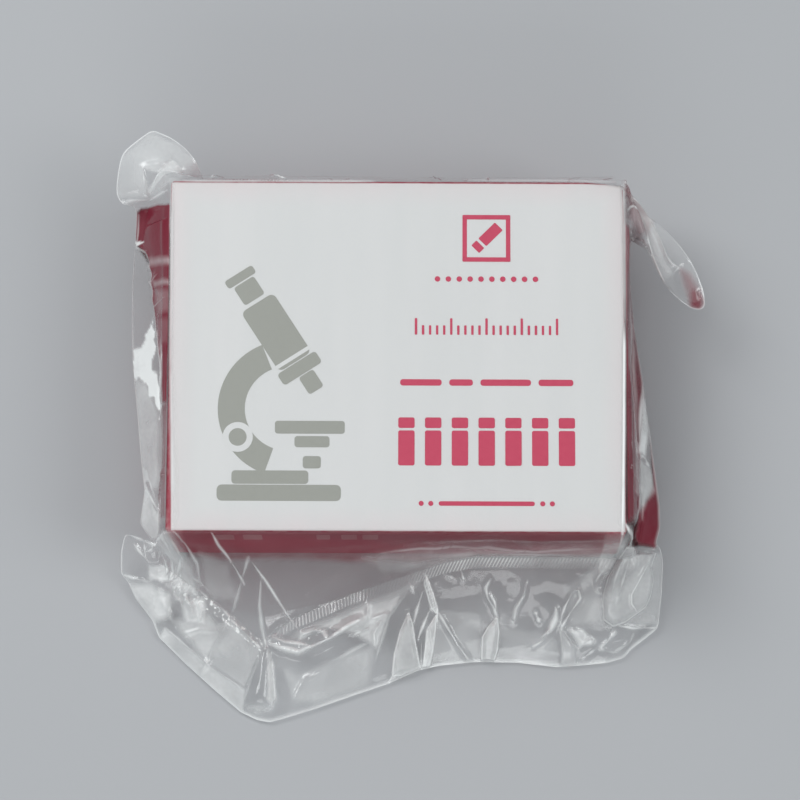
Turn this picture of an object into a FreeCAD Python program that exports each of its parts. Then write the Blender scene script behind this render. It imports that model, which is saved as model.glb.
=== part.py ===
import FreeCAD, Part
import math
import os

# Fifty microscope slides in a card carton with a lift-off lid, sealed in a clear film bag.
# Millimetres, +Z up. The carton lies with its printed face up, its long side along X.
# The origin is the middle of the carton's footprint, on the surface that the bag lies on.
# The sealed end of the bag is its skirt, towards -Y.

# Glass slides, standing on their long edges with their faces towards +Y and -Y
slideLength = 76.2
slideWidth = 25.4
slideThickness = 1.2
slideCount = 50
slideGap = 0.02           # air between two neighbours
groundEdge = 0.12         # chamfer of the ground edges

# Base tray, one folded sheet of card
trayCard = 0.5
slideEndRoom = 0.4        # from a slide's end to the tray's glue flap
slideSideRoom = 0.2       # from the outermost slide to the tray's long wall
slideHeadRoom = 0.6       # from the slides' top edges to the lid
trayFlapLength = 14.0

# Lid, one folded sheet of card that reaches nearly to the tray's underside
lidCard = 0.5
lidFit = 0.3              # from the lid's innermost layer to the tray, all round
lidShortfall = 0.9        # from the lid's rim down to the tray's underside
lidFlapLength = 16.0

# Both are folded alike
foldRadius = 0.8          # outside of each fold
flapTaper = 2.0           # slant at the top and bottom of a glue flap's free end
flapDrop = 1.0            # from a tray's rim down to its glue flaps

# Film bag
film = 0.1
filmSideRoom = 0.25       # between the carton's sides and the film's inside
filmTopRoom = 0.1         # between the carton's top and the film's inside

# Where the bag's film turns under, going round clockwise as seen from above.
# Along a side, each point is (share of the half side, distance out, height above the floor).
leftFold = [
    (-0.96, 9.0, 4.3),
    (-0.88, 7.6, 6.3),
    (-0.78, 5.4, 9.0),
    (-0.60, 4.6, 10.0),
    (-0.28, 6.0, 10.0),
    (0.04, 7.2, 10.0),
    (0.49, 7.4, 11.0),
    (0.74, 6.9, 13.0),
    (0.90, 5.6, 17.0),
]
backFold = [
    (-0.90, 1.7, 18.0),
    (-0.30, 1.0, 15.0),
    (0.30, 1.0, 15.0),
    (0.85, 1.2, 17.0),
]
rightFold = [
    (0.78, 2.6, 16.0),
    (0.40, 2.4, 11.0),
    (0.0, 4.0, 9.0),
    (-0.33, 5.3, 8.0),
    (-0.75, 6.9, 8.0),
]
# Along the front: (share of the half side, seal's distance out, seal's height, hem's distance out)
frontSeal = [
    (0.90, 1.8, 10.0, 19.5),
    (0.62, 2.0, 10.0, 20.5),
    (0.34, 2.2, 10.0, 19.8),
    (0.12, 3.6, 7.0, 21.3),
    (-0.04, 6.8, 4.0, 24.0),
    (-0.22, 10.0, 3.0, 26.3),
    (-0.40, 13.5, 3.0, 28.6),
    (-0.60, 18.0, 3.0, 30.4),
    (-0.80, 15.5, 3.0, 24.5),
]
# At a corner, each point is (distance out in X, distance out in Y, height); the height is counted
# from the bag's top at the back and from the floor at the front. Where two layers lie together
# beyond the fold, as an ear or the skirt, a second point ends them.
backLeftCorner = [
    ((-4.8, -1.0, -9.0), None),
    ((-4.0, 0.5, -7.0), (-9.9, -1.5, -6.0)),
    ((-3.0, 2.2, -6.0), (-9.3, 5.0, -5.0)),
    ((-1.5, 3.0, -6.0), (-3.8, 9.9, -5.0)),
    ((-0.2, 2.6, -7.0), (3.0, 6.0, -6.0)),
]
backRightCorner = [
    ((0.6, 2.0, -9.0), None),
    ((2.0, 0.2, -9.0), (8.0, -6.6, -8.0)),
    ((2.8, -1.2, -9.0), (15.0, -18.5, -10.0)),
    ((3.0, -2.8, -9.0), (12.9, -21.2, -11.0)),
    ((3.0, -4.6, -10.0), (5.0, -11.0, -12.0)),
]
frontRightCorner = [
    ((7.0, -1.5, 8.0), None),
    ((5.5, -5.0, 5.0), (7.0, -13.5, 0.5)),
]
frontLeftCorner = [
    ((-4.5, -7.0, 3.5), (-7.4, -8.6, 1.5)),
    ((-9.0, -3.5, 3.5), None),
]

# What follows from those sizes
stackWidth = slideCount * slideThickness + (slideCount - 1) * slideGap
trayLength = slideLength + 2 * (slideEndRoom + 2 * trayCard)
trayWidth = stackWidth + 2 * (slideSideRoom + trayCard)
trayHeight = trayCard + slideWidth + slideHeadRoom
lidLength = trayLength + 2 * (lidFit + 2 * lidCard)
lidWidth = trayWidth + 2 * (lidFit + lidCard)
lidHeight = trayHeight + lidCard - lidShortfall
trayBottom = film
lidTop = trayBottom + trayHeight + lidCard
bagTop = lidTop + filmTopRoom + film
bagHalfLength = lidLength / 2 + filmSideRoom + film
bagHalfWidth = lidWidth / 2 + filmSideRoom + film


def centredBox(length, width, height):
    return Part.makeBox(length, width, height, FreeCAD.Vector(-length / 2, -width / 2, 0))


def roundFolds(box, radius):
    # rounds the four upright edges and the four at the bottom
    edges = [edge for edge in box.Edges if edge.BoundBox.ZMin < radius / 2]
    return box.makeFillet(radius, edges)


def glueFlap(flapLength, low, high, card):
    # a plate in the YZ plane, its root at y = 0 and its free end slanted, card thick towards +X
    outline = [
        FreeCAD.Vector(0, 0, low),
        FreeCAD.Vector(0, flapLength, low + flapTaper),
        FreeCAD.Vector(0, flapLength, high - flapTaper),
        FreeCAD.Vector(0, 0, high),
    ]
    plate = Part.Face(Part.makePolygon(outline + outline[:1]))
    return plate.extrude(FreeCAD.Vector(card, 0, 0))


def foldedTray(length, width, height, card, flapLength):
    # an open tray standing on z = 0; the long walls' flaps are glued inside the end walls
    outside = roundFolds(centredBox(length, width, height), foldRadius)
    inside = centredBox(length - 2 * card, width - 2 * card, height)
    inside = roundFolds(inside, foldRadius - card)
    inside.translate(FreeCAD.Vector(0, 0, card))
    tray = outside.cut(inside)
    flap = glueFlap(flapLength, card, height - flapDrop, card)
    flap.translate(FreeCAD.Vector(-length / 2 + card, -width / 2 + card, 0))
    acrossX = FreeCAD.Vector(1, 0, 0)
    acrossY = FreeCAD.Vector(0, 1, 0)
    middle = FreeCAD.Vector(0, 0, 0)
    pair = [flap, flap.mirror(middle, acrossX)]
    pair += [one.mirror(middle, acrossY) for one in pair]
    return tray.fuse(pair).removeSplitter()


def makeBase():
    tray = foldedTray(trayLength, trayWidth, trayHeight, trayCard, trayFlapLength)
    tray.translate(FreeCAD.Vector(0, 0, trayBottom))
    return tray


def makeLid():
    lid = foldedTray(lidLength, lidWidth, lidHeight, lidCard, lidFlapLength)
    lid.rotate(FreeCAD.Vector(0, 0, 0), FreeCAD.Vector(1, 0, 0), 180)
    lid.translate(FreeCAD.Vector(0, 0, lidTop))
    return lid


def makeSlide(index):
    glass = centredBox(slideLength, slideThickness, slideWidth)
    glass = glass.makeChamfer(groundEdge, glass.Edges)
    pitch = slideThickness + slideGap
    offset = (index - (slideCount - 1) / 2) * pitch
    glass.translate(FreeCAD.Vector(0, offset, trayBottom + trayCard))
    return glass


class Station:
    # one upright cut through the bag: the carton's outline, the film's fold and, where two layers
    # lie together beyond the fold, their end
    def __init__(self, baseX, baseY, fold, hem=None):
        self.top = FreeCAD.Vector(baseX, baseY, bagTop)
        self.fold = fold
        self.hem = hem
        self.foot = FreeCAD.Vector(baseX, baseY, 0)

    def outerPoints(self):
        if self.hem is None:
            return [self.top] + [self.fold] * 4 + [self.foot]
        layer = FreeCAD.Vector(0, 0, film)
        above = [self.fold + layer, self.hem + layer]
        below = [self.hem - layer, self.fold - layer]
        return [self.top] + above + below + [self.foot]

    def innerBase(self):
        # one film in from each side of the outline that this station stands on
        x, y = self.top.x, self.top.y
        if abs(x) > bagHalfLength - film:
            x -= math.copysign(film, x)
        if abs(y) > bagHalfWidth - film:
            y -= math.copysign(film, y)
        return x, y


def sideStations(points, side):
    # side is "left", "back" or "right"
    stations = []
    for share, out, height in points:
        if side == "back":
            baseX, baseY = share * bagHalfLength, bagHalfWidth
            fold = FreeCAD.Vector(baseX, baseY + out, height)
        else:
            sign = -1 if side == "left" else 1
            baseX, baseY = sign * bagHalfLength, share * bagHalfWidth
            fold = FreeCAD.Vector(baseX + sign * out, baseY, height)
        stations.append(Station(baseX, baseY, fold))
    return stations


def cornerStations(points, signX, signY):
    baseX, baseY = signX * bagHalfLength, signY * bagHalfWidth
    corner = FreeCAD.Vector(baseX, baseY, bagTop if signY > 0 else 0)
    stations = []
    for foldStep, hemStep in points:
        fold = corner + FreeCAD.Vector(foldStep)
        hem = corner + FreeCAD.Vector(hemStep) if hemStep else None
        stations.append(Station(baseX, baseY, fold, hem))
    return stations


def frontStations():
    stations = []
    for share, sealOut, height, hemOut in frontSeal:
        x = share * bagHalfLength
        fold = FreeCAD.Vector(x, -bagHalfWidth - sealOut, height)
        hem = FreeCAD.Vector(x, -bagHalfWidth - hemOut, film)
        stations.append(Station(x, -bagHalfWidth, fold, hem))
    return stations


def bagStations():
    return (
        sideStations(leftFold, "left")
        + cornerStations(backLeftCorner, -1, 1)
        + sideStations(backFold, "back")
        + cornerStations(backRightCorner, 1, 1)
        + sideStations(rightFold, "right")
        + cornerStations(frontRightCorner, 1, -1)
        + frontStations()
        + cornerStations(frontLeftCorner, -1, -1)
    )


def wallTriangles(rings):
    # rings run from the top to the foot, each with a point for every station; a triangle is three
    # (ring, station) places, wound so that its normal points out of the bag
    for ring in range(len(rings) - 1):
        for station in range(len(rings[0])):
            yield (ring, station - 1), (ring, station), (ring + 1, station)
            yield (ring, station - 1), (ring + 1, station), (ring + 1, station - 1)


def towardsInside(normals):
    # the step that comes nearest to lying one film inside every face with these normals
    sums = [[sum(n[row] * n[column] for n in normals) for column in range(3)] for row in range(3)]
    steadying = 1e-4      # keeps the step short along a straight fold
    for row in range(3):
        sums[row][row] += steadying
    matrix = FreeCAD.Matrix(
        FreeCAD.Vector(sums[0]), FreeCAD.Vector(sums[1]), FreeCAD.Vector(sums[2])
    )
    total = FreeCAD.Vector(0, 0, 0)
    for n in normals:
        total += n
    return matrix.inverse().multVec(total * -film)


def insideOfFolds(stations):
    count = len(stations)
    rings = [[getattr(one, name) for one in stations] for name in ("top", "fold", "foot")]
    foldRing = 1
    normals = [[] for _ in range(count)]
    for places in wallTriangles(rings):
        first, second, third = [rings[ring][station] for ring, station in places]
        normal = (second - first).cross(third - first)
        if normal.Length > film:
            normal.normalize()
            for ring, station in places:
                if ring == foldRing:
                    normals[station % count].append(normal)
    return [one.fold + towardsInside(found) for one, found in zip(stations, normals)]


def flatFace(points):
    # a plane face through the points, leaving out any that repeat; None if fewer than three remain
    same = film / 100
    corners = [p for i, p in enumerate(points) if (p - points[i - 1]).Length > same]
    if len(corners) < 3:
        return None
    return Part.Face(Part.makePolygon(corners + corners[:1]))


def closedSolid(rings):
    faces = [flatFace(rings[0]), flatFace(rings[-1])]
    for places in wallTriangles(rings):
        faces.append(flatFace([rings[ring][station] for ring, station in places]))
    shell = Part.makeShell([face for face in faces if face])
    shell.sewShape()
    solid = Part.makeSolid(shell)
    if solid.Volume < 0:
        solid.reverse()
    return solid


def makeFilmBag():
    stations = bagStations()
    outerRings = list(zip(*[one.outerPoints() for one in stations]))
    bases = [one.innerBase() for one in stations]
    innerRings = [
        [FreeCAD.Vector(x, y, bagTop - film) for x, y in bases],
        insideOfFolds(stations),
        [FreeCAD.Vector(x, y, film) for x, y in bases],
    ]
    return closedSolid(outerRings).cut(closedSolid(innerRings))


def writeNode(name, shape):
    solids = shape.Solids
    if len(solids) != 1 or not solids[0].isValid():
        raise RuntimeError(name + " isn't one valid solid")
    solids[0].exportStep("parts/" + name + ".step")
    print(name, round(solids[0].Volume, 1), "mm3")


os.makedirs("parts", exist_ok=True)
writeNode("film_bag", makeFilmBag())
writeNode("carton_lid", makeLid())
writeNode("carton_base", makeBase())
for slideIndex in range(slideCount):
    writeNode("slide_%02d" % (slideIndex + 1), makeSlide(slideIndex))
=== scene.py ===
import bpy
import math
import numpy as np
from mathutils import Matrix, Vector
from mathutils.geometry import delaunay_2d_cdt


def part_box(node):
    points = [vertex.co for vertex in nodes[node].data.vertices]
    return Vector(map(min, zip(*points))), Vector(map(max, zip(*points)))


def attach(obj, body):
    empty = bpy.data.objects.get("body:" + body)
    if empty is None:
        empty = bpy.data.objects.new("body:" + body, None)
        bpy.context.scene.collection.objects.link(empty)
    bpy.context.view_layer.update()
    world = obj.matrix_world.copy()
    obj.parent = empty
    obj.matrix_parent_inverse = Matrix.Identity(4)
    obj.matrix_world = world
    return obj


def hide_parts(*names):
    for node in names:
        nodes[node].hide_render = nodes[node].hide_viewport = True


# A carton of fifty microscope slides, red and white card, sealed in a clear film bag.
# Blender works in metres; lengths are written in millimetres, but for the stage's.
mm = 0.001

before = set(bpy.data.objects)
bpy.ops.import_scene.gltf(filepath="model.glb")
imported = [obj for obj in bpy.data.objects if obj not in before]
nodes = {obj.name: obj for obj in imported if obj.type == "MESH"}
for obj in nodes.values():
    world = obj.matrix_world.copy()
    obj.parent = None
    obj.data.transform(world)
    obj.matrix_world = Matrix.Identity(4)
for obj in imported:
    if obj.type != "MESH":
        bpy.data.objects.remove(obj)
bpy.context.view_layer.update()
lidLow, lidHigh = (np.array(corner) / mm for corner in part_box("carton_lid"))
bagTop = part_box("film_bag")[1][2] / mm


def deselect():
    bpy.ops.object.select_all(action="DESELECT")


def editMesh():
    # into edit mode, with everything selected
    bpy.ops.object.mode_set(mode="EDIT")
    bpy.ops.mesh.select_all(action="SELECT")


def leaveEdit():
    bpy.ops.object.mode_set(mode="OBJECT")


def selectParts(mesh, kind, test):
    # selects the faces or edges that pass the test, and stays in edit mode
    bpy.ops.object.mode_set(mode="EDIT")
    bpy.ops.mesh.select_mode(type=kind)
    bpy.ops.mesh.select_all(action="DESELECT")
    leaveEdit()
    for part in mesh.polygons if kind == "FACE" else mesh.edges:
        part.select = test(part)
    bpy.ops.object.mode_set(mode="EDIT")


def addBox(place, size):
    # place and size in metres
    deselect()
    bpy.ops.mesh.primitive_cube_add(size=1, location=place, scale=size)
    bpy.ops.object.transform_apply(location=True, rotation=True, scale=True)
    return bpy.context.object


def newMaterial(name):
    material = bpy.data.materials.new(name)
    material.use_nodes = True
    return material, material.node_tree, material.node_tree.nodes["Principled BSDF"]


def setMaterial(piece, *materials):
    piece.data.materials.clear()
    for material in materials:
        piece.data.materials.append(material)


class Wire:
    # a node's output that can be reckoned with like a number: every step becomes a math node
    def __init__(self, tree, socket):
        self.tree, self.socket = tree, socket

    def __add__(self, other):
        return calc(self.tree, "ADD", self, other)

    def __sub__(self, other):
        return calc(self.tree, "SUBTRACT", self, other)

    def __rsub__(self, other):
        return calc(self.tree, "SUBTRACT", other, self)

    def __mul__(self, other):
        return calc(self.tree, "MULTIPLY", self, other)

    def __truediv__(self, other):
        return calc(self.tree, "DIVIDE", self, other)

    def __pow__(self, other):
        return calc(self.tree, "POWER", self, other)

    def scaled(self, factor, start):
        return calc(self.tree, "MULTIPLY_ADD", self, factor, start)

    def clamped(self):
        self.socket.node.use_clamp = True
        return self


def plug(socket, value):
    # a number, a colour or a wire goes into a socket
    if isinstance(value, (int, float)):
        socket.default_value = value
    elif isinstance(value, tuple):
        socket.default_value = value if len(value) == len(socket.default_value) else (*value, 1)
    else:
        value.tree.links.new(value.socket, socket)


def addNode(tree, kind, inputs=None, **settings):
    node = tree.nodes.new(kind)
    for name, value in settings.items():
        setattr(node, name, value)
    for key, value in (inputs or {}).items():
        plug(node.inputs[key], value)
    return node


def outputOf(tree, output, kind, inputs=None, **settings):
    # adds a node for the sake of one of its outputs
    return Wire(tree, addNode(tree, kind, inputs, **settings).outputs[output])


def calc(tree, operation, *values):
    return outputOf(tree, 0, "ShaderNodeMath", dict(enumerate(values)), operation=operation)


def mixColour(tree, factor, first, second):
    return outputOf(tree, 2, "ShaderNodeMix", {0: factor, 6: first, 7: second}, data_type="RGBA")


def noiseOf(place, scale, detail=3.0, rough=0.5):
    inputs = {"Vector": place, "Scale": scale, "Detail": detail, "Roughness": rough}
    return outputOf(place.tree, "Fac", "ShaderNodeTexNoise", inputs)


def objectPlace(tree):
    return outputOf(tree, "Object", "ShaderNodeTexCoord")


def splitUp(vector):
    # the three parts of a place
    parts = addNode(vector.tree, "ShaderNodeSeparateXYZ", {0: vector}).outputs
    return [Wire(vector.tree, part) for part in parts]


def addBump(shader, strength, distance, height):
    inputs = {"Strength": strength, "Distance": distance * mm, "Height": height}
    plug(shader.inputs["Normal"], outputOf(height.tree, "Normal", "ShaderNodeBump", inputs))


# The film: each station is one upright cut through the bag, clockwise as seen from above.
# foot x y on the carton | fold x y z | outer edge x y z | 1 where both layers lie together as a flap
film = {
    "stations": [
        # left side
        (-41.15, -29.5, -42.9, -30.2, 12.0, -44.2, -31.2, 8.0, 0.2),
        (-41.15, -27.0, -42.8, -27.4, 13.0, -46.7, -27.9, 8.6, 0.0),
        (-41.15, -21.8, -42.6, -21.8, 14.0, -45.9, -21.8, 9.3, 0.0),
        (-41.15, -16.0, -42.6, -16.0, 14.0, -46.6, -16.3, 9.8, 0.0),
        (-41.15, -9.0, -42.6, -9.2, 14.5, -47.3, -8.9, 10.0, 0.0),
        (-41.15, 0.5, -43.4, 0.3, 15.0, -48.4, 1.2, 10.0, 0.0),
        (-41.15, 9.0, -44.6, 9.5, 16.0, -48.7, 8.5, 10.4, 0.0),
        (-41.15, 16.0, -45.5, 17.8, 16.0, -48.7, 15.7, 11.2, 0.0),
        (-41.15, 20.5, -46.6, 21.6, 15.5, -48.4, 20.8, 12.2, 0.0),
        (-41.15, 23.0, -46.6, 23.6, 15.8, -48.1, 23.6, 13.6, 0.1),
        (-41.15, 25.5, -46.2, 26.2, 17.0, -47.9, 26.2, 15.2, 0.3),
        # ear at the back left
        (-41.15, 28.0, -45.5, 28.6, 18.4, -47.7, 28.1, 17.6, 0.7),
        (-41.15, 29.2, -45.2, 29.6, 19.4, -48.0, 29.0, 19.6, 0.95),
        (-41.15, 30.2, -45.1, 30.4, 20.0, -50.1, 29.1, 20.6, 1.0),
        (-41.15, 31.0, -45.0, 31.2, 20.6, -51.0, 30.4, 21.2, 1.0),
        (-41.15, 31.6, -44.8, 32.2, 21.0, -51.1, 31.9, 21.6, 1.0),
        (-41.15, 32.1, -44.6, 33.0, 21.3, -50.8, 34.8, 22.0, 1.0),
        (-41.15, 32.34, -44.3, 33.8, 21.6, -50.3, 37.4, 22.3, 1.0),
        (-41.15, 32.34, -43.8, 34.4, 21.8, -49.7, 38.6, 22.5, 1.0),
        (-41.15, 32.34, -43.3, 34.8, 21.9, -47.3, 40.6, 22.7, 1.0),
        (-41.15, 32.34, -42.7, 35.1, 22.0, -44.8, 42.4, 22.9, 1.0),
        (-40.8, 32.34, -42.1, 35.2, 21.9, -44.5, 42.4, 22.9, 1.0),
        (-40.5, 32.34, -41.5, 35.1, 21.8, -41.5, 41.3, 22.4, 1.0),
        (-40.1, 32.34, -40.8, 35.0, 21.6, -39.4, 39.9, 22.2, 1.0),
        (-39.6, 32.34, -40.0, 34.8, 21.3, -37.7, 38.4, 22.0, 1.0),
        (-38.9, 32.34, -39.0, 34.6, 21.0, -36.4, 36.5, 21.6, 1.0),
        (-37.8, 32.34, -37.8, 34.3, 20.4, -35.8, 34.9, 18.5, 1.0),
        # back, where the sealed end is folded down
        (-35.0, 32.34, -35.0, 34.2, 20.0, -34.6, 34.5, 10.5, 1.0),
        (-22.0, 32.34, -22.0, 33.9, 20.6, -22.0, 34.0, 9.2, 1.0),
        (-8.0, 32.34, -8.0, 33.6, 20.4, -8.0, 33.9, 8.6, 1.0),
        (8.0, 32.34, 8.0, 33.6, 20.6, 8.0, 34.2, 9.4, 1.0),
        (22.0, 32.34, 22.0, 33.8, 20.2, 22.0, 33.8, 9.0, 1.0),
        (33.0, 32.34, 33.0, 34.0, 20.0, 33.4, 34.2, 10.4, 1.0),
        # ear at the back right
        (38.0, 32.34, 38.0, 34.0, 20.0, 38.4, 34.5, 14.5, 1.0),
        (40.0, 32.34, 40.4, 33.4, 20.2, 41.4, 33.3, 18.6, 1.0),
        (41.15, 32.34, 42.0, 31.6, 19.8, 44.2, 30.1, 19.0, 1.0),
        (41.15, 32.34, 43.0, 29.6, 19.4, 46.3, 26.8, 18.9, 1.0),
        (41.15, 32.34, 43.6, 28.6, 19.1, 46.8, 27.0, 18.8, 1.0),
        (41.15, 32.3, 44.4, 27.2, 18.8, 49.0, 25.0, 18.6, 1.0),
        (41.15, 32.2, 45.0, 25.8, 18.5, 51.3, 22.6, 18.3, 1.0),
        (41.15, 32.0, 45.6, 24.4, 18.3, 53.3, 20.0, 17.8, 1.0),
        (41.15, 31.8, 46.1, 23.2, 18.1, 54.7, 17.4, 17.2, 1.0),
        (41.15, 31.6, 46.5, 22.2, 18.0, 55.9, 14.2, 16.6, 1.0),
        (41.15, 31.2, 46.7, 21.2, 17.8, 56.2, 11.3, 16.2, 1.0),
        (41.15, 31.0, 46.6, 20.9, 17.7, 55.3, 10.8, 16.1, 1.0),
        (41.15, 30.6, 46.4, 20.9, 17.6, 53.9, 11.0, 16.2, 1.0),
        (41.15, 30.2, 46.0, 21.2, 17.4, 52.2, 12.0, 16.4, 1.0),
        (41.15, 29.6, 45.6, 21.8, 17.3, 50.0, 14.0, 16.5, 1.0),
        (41.15, 28.8, 45.2, 22.6, 17.1, 48.4, 16.2, 16.5, 1.0),
        (41.15, 28.0, 44.8, 23.2, 16.9, 47.1, 19.2, 16.4, 1.0),
        (41.15, 27.2, 44.3, 23.8, 16.7, 46.4, 21.2, 16.2, 1.0),
        (41.15, 26.4, 43.8, 24.4, 16.5, 45.5, 23.0, 16.0, 0.9),
        (41.15, 25.4, 43.2, 24.8, 16.2, 44.0, 24.9, 15.2, 0.7),
        (41.15, 23.6, 42.6, 23.6, 15.6, 42.9, 23.6, 13.6, 0.3),
        # right side
        (41.15, 20.0, 42.3, 20.0, 14.6, 42.7, 20.0, 11.4, 0.0),
        (41.15, 15.0, 42.5, 15.0, 14.0, 43.2, 15.0, 10.0, 0.0),
        (41.15, 8.5, 42.7, 8.5, 13.5, 43.8, 8.8, 9.0, 0.0),
        (41.15, 0.0, 43.0, 0.0, 13.5, 45.2, -0.3, 8.6, 0.0),
        (41.15, -9.5, 43.6, -10.0, 13.5, 46.5, -10.5, 8.2, 0.0),
        (41.15, -17.5, 44.2, -18.0, 13.0, 47.5, -18.7, 8.0, 0.0),
        (41.15, -23.0, 44.6, -23.6, 12.6, 48.2, -24.3, 8.0, 0.0),
        (41.15, -27.0, 44.6, -27.8, 12.0, 48.2, -28.2, 8.0, 0.0),
        (41.15, -29.6, 44.2, -30.4, 11.0, 47.4, -31.0, 7.4, 0.3),
        # front right corner
        (41.15, -31.2, 44.0, -31.8, 10.0, 48.4, -31.7, 6.4, 0.8),
        (41.15, -32.34, 43.6, -33.2, 9.4, 48.9, -34.0, 5.0, 1.0),
        (41.15, -32.34, 43.2, -33.8, 9.0, 48.8, -39.0, 3.0, 1.0),
        (41.15, -32.34, 42.6, -34.2, 9.0, 48.2, -45.3, 1.6, 1.0),
        (41.0, -32.34, 42.2, -34.3, 9.2, 47.9, -45.9, 1.4, 1.0),
        (40.4, -32.34, 41.4, -34.4, 9.5, 45.8, -47.6, 1.0, 1.0),
        (39.6, -32.34, 40.2, -34.3, 9.8, 43.4, -49.4, 0.8, 1.0),
        (38.4, -32.34, 38.8, -34.1, 10.0, 41.8, -51.2, 0.8, 1.0),
        (36.6, -32.34, 36.8, -33.9, 10.0, 38.6, -52.1, 0.8, 1.0),
        # front
        (31.8, -32.34, 31.8, -33.9, 10.0, 32.6, -52.7, 0.8, 1.0),
        (28.0, -32.34, 28.0, -33.9, 10.0, 29.4, -52.9, 0.8, 1.0),
        (22.0, -32.34, 22.0, -33.8, 10.0, 22.4, -52.1, 0.8, 1.0),
        (14.3, -32.34, 14.3, -33.8, 10.0, 14.6, -52.0, 0.8, 1.0),
        (8.4, -32.34, 8.4, -34.8, 8.8, 8.2, -52.7, 0.8, 1.0),
        (4.0, -32.34, 4.0, -36.1, 7.2, 4.2, -53.6, 0.8, 1.0),
        (-1.4, -32.34, -1.4, -37.8, 5.8, -1.4, -56.1, 0.8, 1.0),
        (-8.0, -32.34, -8.0, -39.9, 4.6, -8.4, -58.5, 0.8, 1.0),
        (-14.0, -32.34, -14.0, -42.4, 3.8, -14.6, -60.7, 0.8, 1.0),
        (-18.0, -32.34, -18.2, -44.2, 3.4, -20.4, -62.5, 0.8, 1.0),
        (-21.0, -32.34, -21.2, -46.0, 3.2, -23.0, -63.2, 0.8, 1.0),
        (-23.8, -32.34, -24.2, -48.6, 3.0, -25.2, -62.8, 0.8, 1.0),
        (-26.0, -32.34, -27.0, -46.4, 3.3, -28.2, -61.4, 0.8, 1.0),
        (-29.4, -32.34, -30.2, -43.6, 3.7, -33.0, -57.4, 0.8, 1.0),
        (-33.0, -32.34, -33.4, -41.2, 4.4, -38.6, -52.4, 0.8, 1.0),
        (-36.6, -32.34, -37.2, -39.0, 5.4, -43.4, -47.7, 0.9, 1.0),
        (-39.0, -32.34, -39.8, -37.2, 6.2, -44.6, -44.7, 1.2, 1.0),
        (-41.15, -32.34, -42.0, -35.6, 7.0, -47.8, -40.6, 1.6, 1.0),
        # front left corner
        (-41.15, -32.34, -43.2, -34.6, 7.4, -49.3, -37.4, 2.2, 1.0),
        (-41.15, -32.34, -43.8, -33.6, 7.8, -50.4, -36.4, 3.0, 1.0),
        (-41.15, -31.8, -43.9, -32.6, 8.4, -50.4, -32.6, 4.6, 1.0),
        (-41.15, -31.0, -43.6, -31.6, 9.2, -49.6, -29.0, 5.6, 1.0),
        (-41.15, -30.4, -43.2, -30.9, 10.4, -46.6, -30.6, 7.0, 0.8),
    ],
    "columns": 960,
    "care": {"skirt": 1.7, "ears": 1.1, "sides": 0.8, "back": 0.5},      # how close together the cuts are
    "shares": {                # where the rings lie on each stretch of a cut, as parts of its length
        "top": (0, 0.72, 0.92),
        "wall": 30,            # a number stands for that many even rings
        "flap": 42,
        "under": 10,
        "tuck": 4,
        "bottom": (0, 0.5, 1.0),
    },
    "inset": 5.0,              # the top and bottom rings lie this far inside the carton's edge
    "gather": 0.5,             # the lower layer lies this far below the fold
    "lowest": {"flap": 0.5, "under": 0.15},
    # spacing of the crumpling's knots, seed, and how much shorter it is counted down the sheet
    "crumple": {"coarse": (7.5, 3, 1), "medium": (3.4, 4, 1), "fine": (1.9, 5, 1), "drawn": (3.0, 6, 0.22)},
    "wallLift": (0.16, 0.15, 0.05),        # of the coarse, drawn and medium crumples
    "flapRise": (0.30, 0.15, 0.04),        # of the coarse, medium and fine ones
    "tuckLift": (0.1, 0.2),                # of those below the flap, and at the foot
    "calm": {"left": 0.45, "back": 0.35, "ears": 0.7},      # how much flatter these places are
    "shoulder": (0.4, 0.13, 0.08),         # how far the film stands off, where down the wall and how wide
    "hazeAndHighlightGain": 1.45,         # times every patch's cloudiness and painted highlight
    "unevenSeed": 7,           # for the creases' waves and the patches' outlines
    "pleatLine": (0.18, 1.2),  # width and whiteness of the line round a pleat, partly a painted highlight
    "tube": {"line": [(-23.7, -50.4), (-24.3, -54.5), (-24.9, -58.6)], "half": (0.8, 2.7), "height": 2.6},
    "wallCreases": {
        "count": 64, "seed": 11, "start": (-1, 12), "lean": 24, "length": (4, 15),
        "height": (-0.35, 0.5), "halfWidth": (0.5, 1.3), "white": (0.6, 1.5), "line": 0.2,
        "show": (0.22, 0.3, 0.22),         # at the sides, more at the back and less at the front
    },
    "seal": {
        "width": 2.3, "pitch": 0.64, "start": 0.1,
        "lean": ((-10, 4), (0.15, -0.5)),      # how far the ribs lean, by their place from left to right
        "show": ((-36, -33.5, -25, -22, -17, -9, -4, 3, 12, 16, 24, 32, 40),
                 (0.0, 0.8, 0.8, 0.5, 0.75, 0.55, 0.3, 0.5, 1.0, 0.7, 0.35, 0.2, 0.1)),
        # where along the band the squashed ribs are drawn as painted glint dots
        "crushed": ((-37, -34, -24, -20), (0, 1, 0.8, 0)),
    },
}
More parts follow.
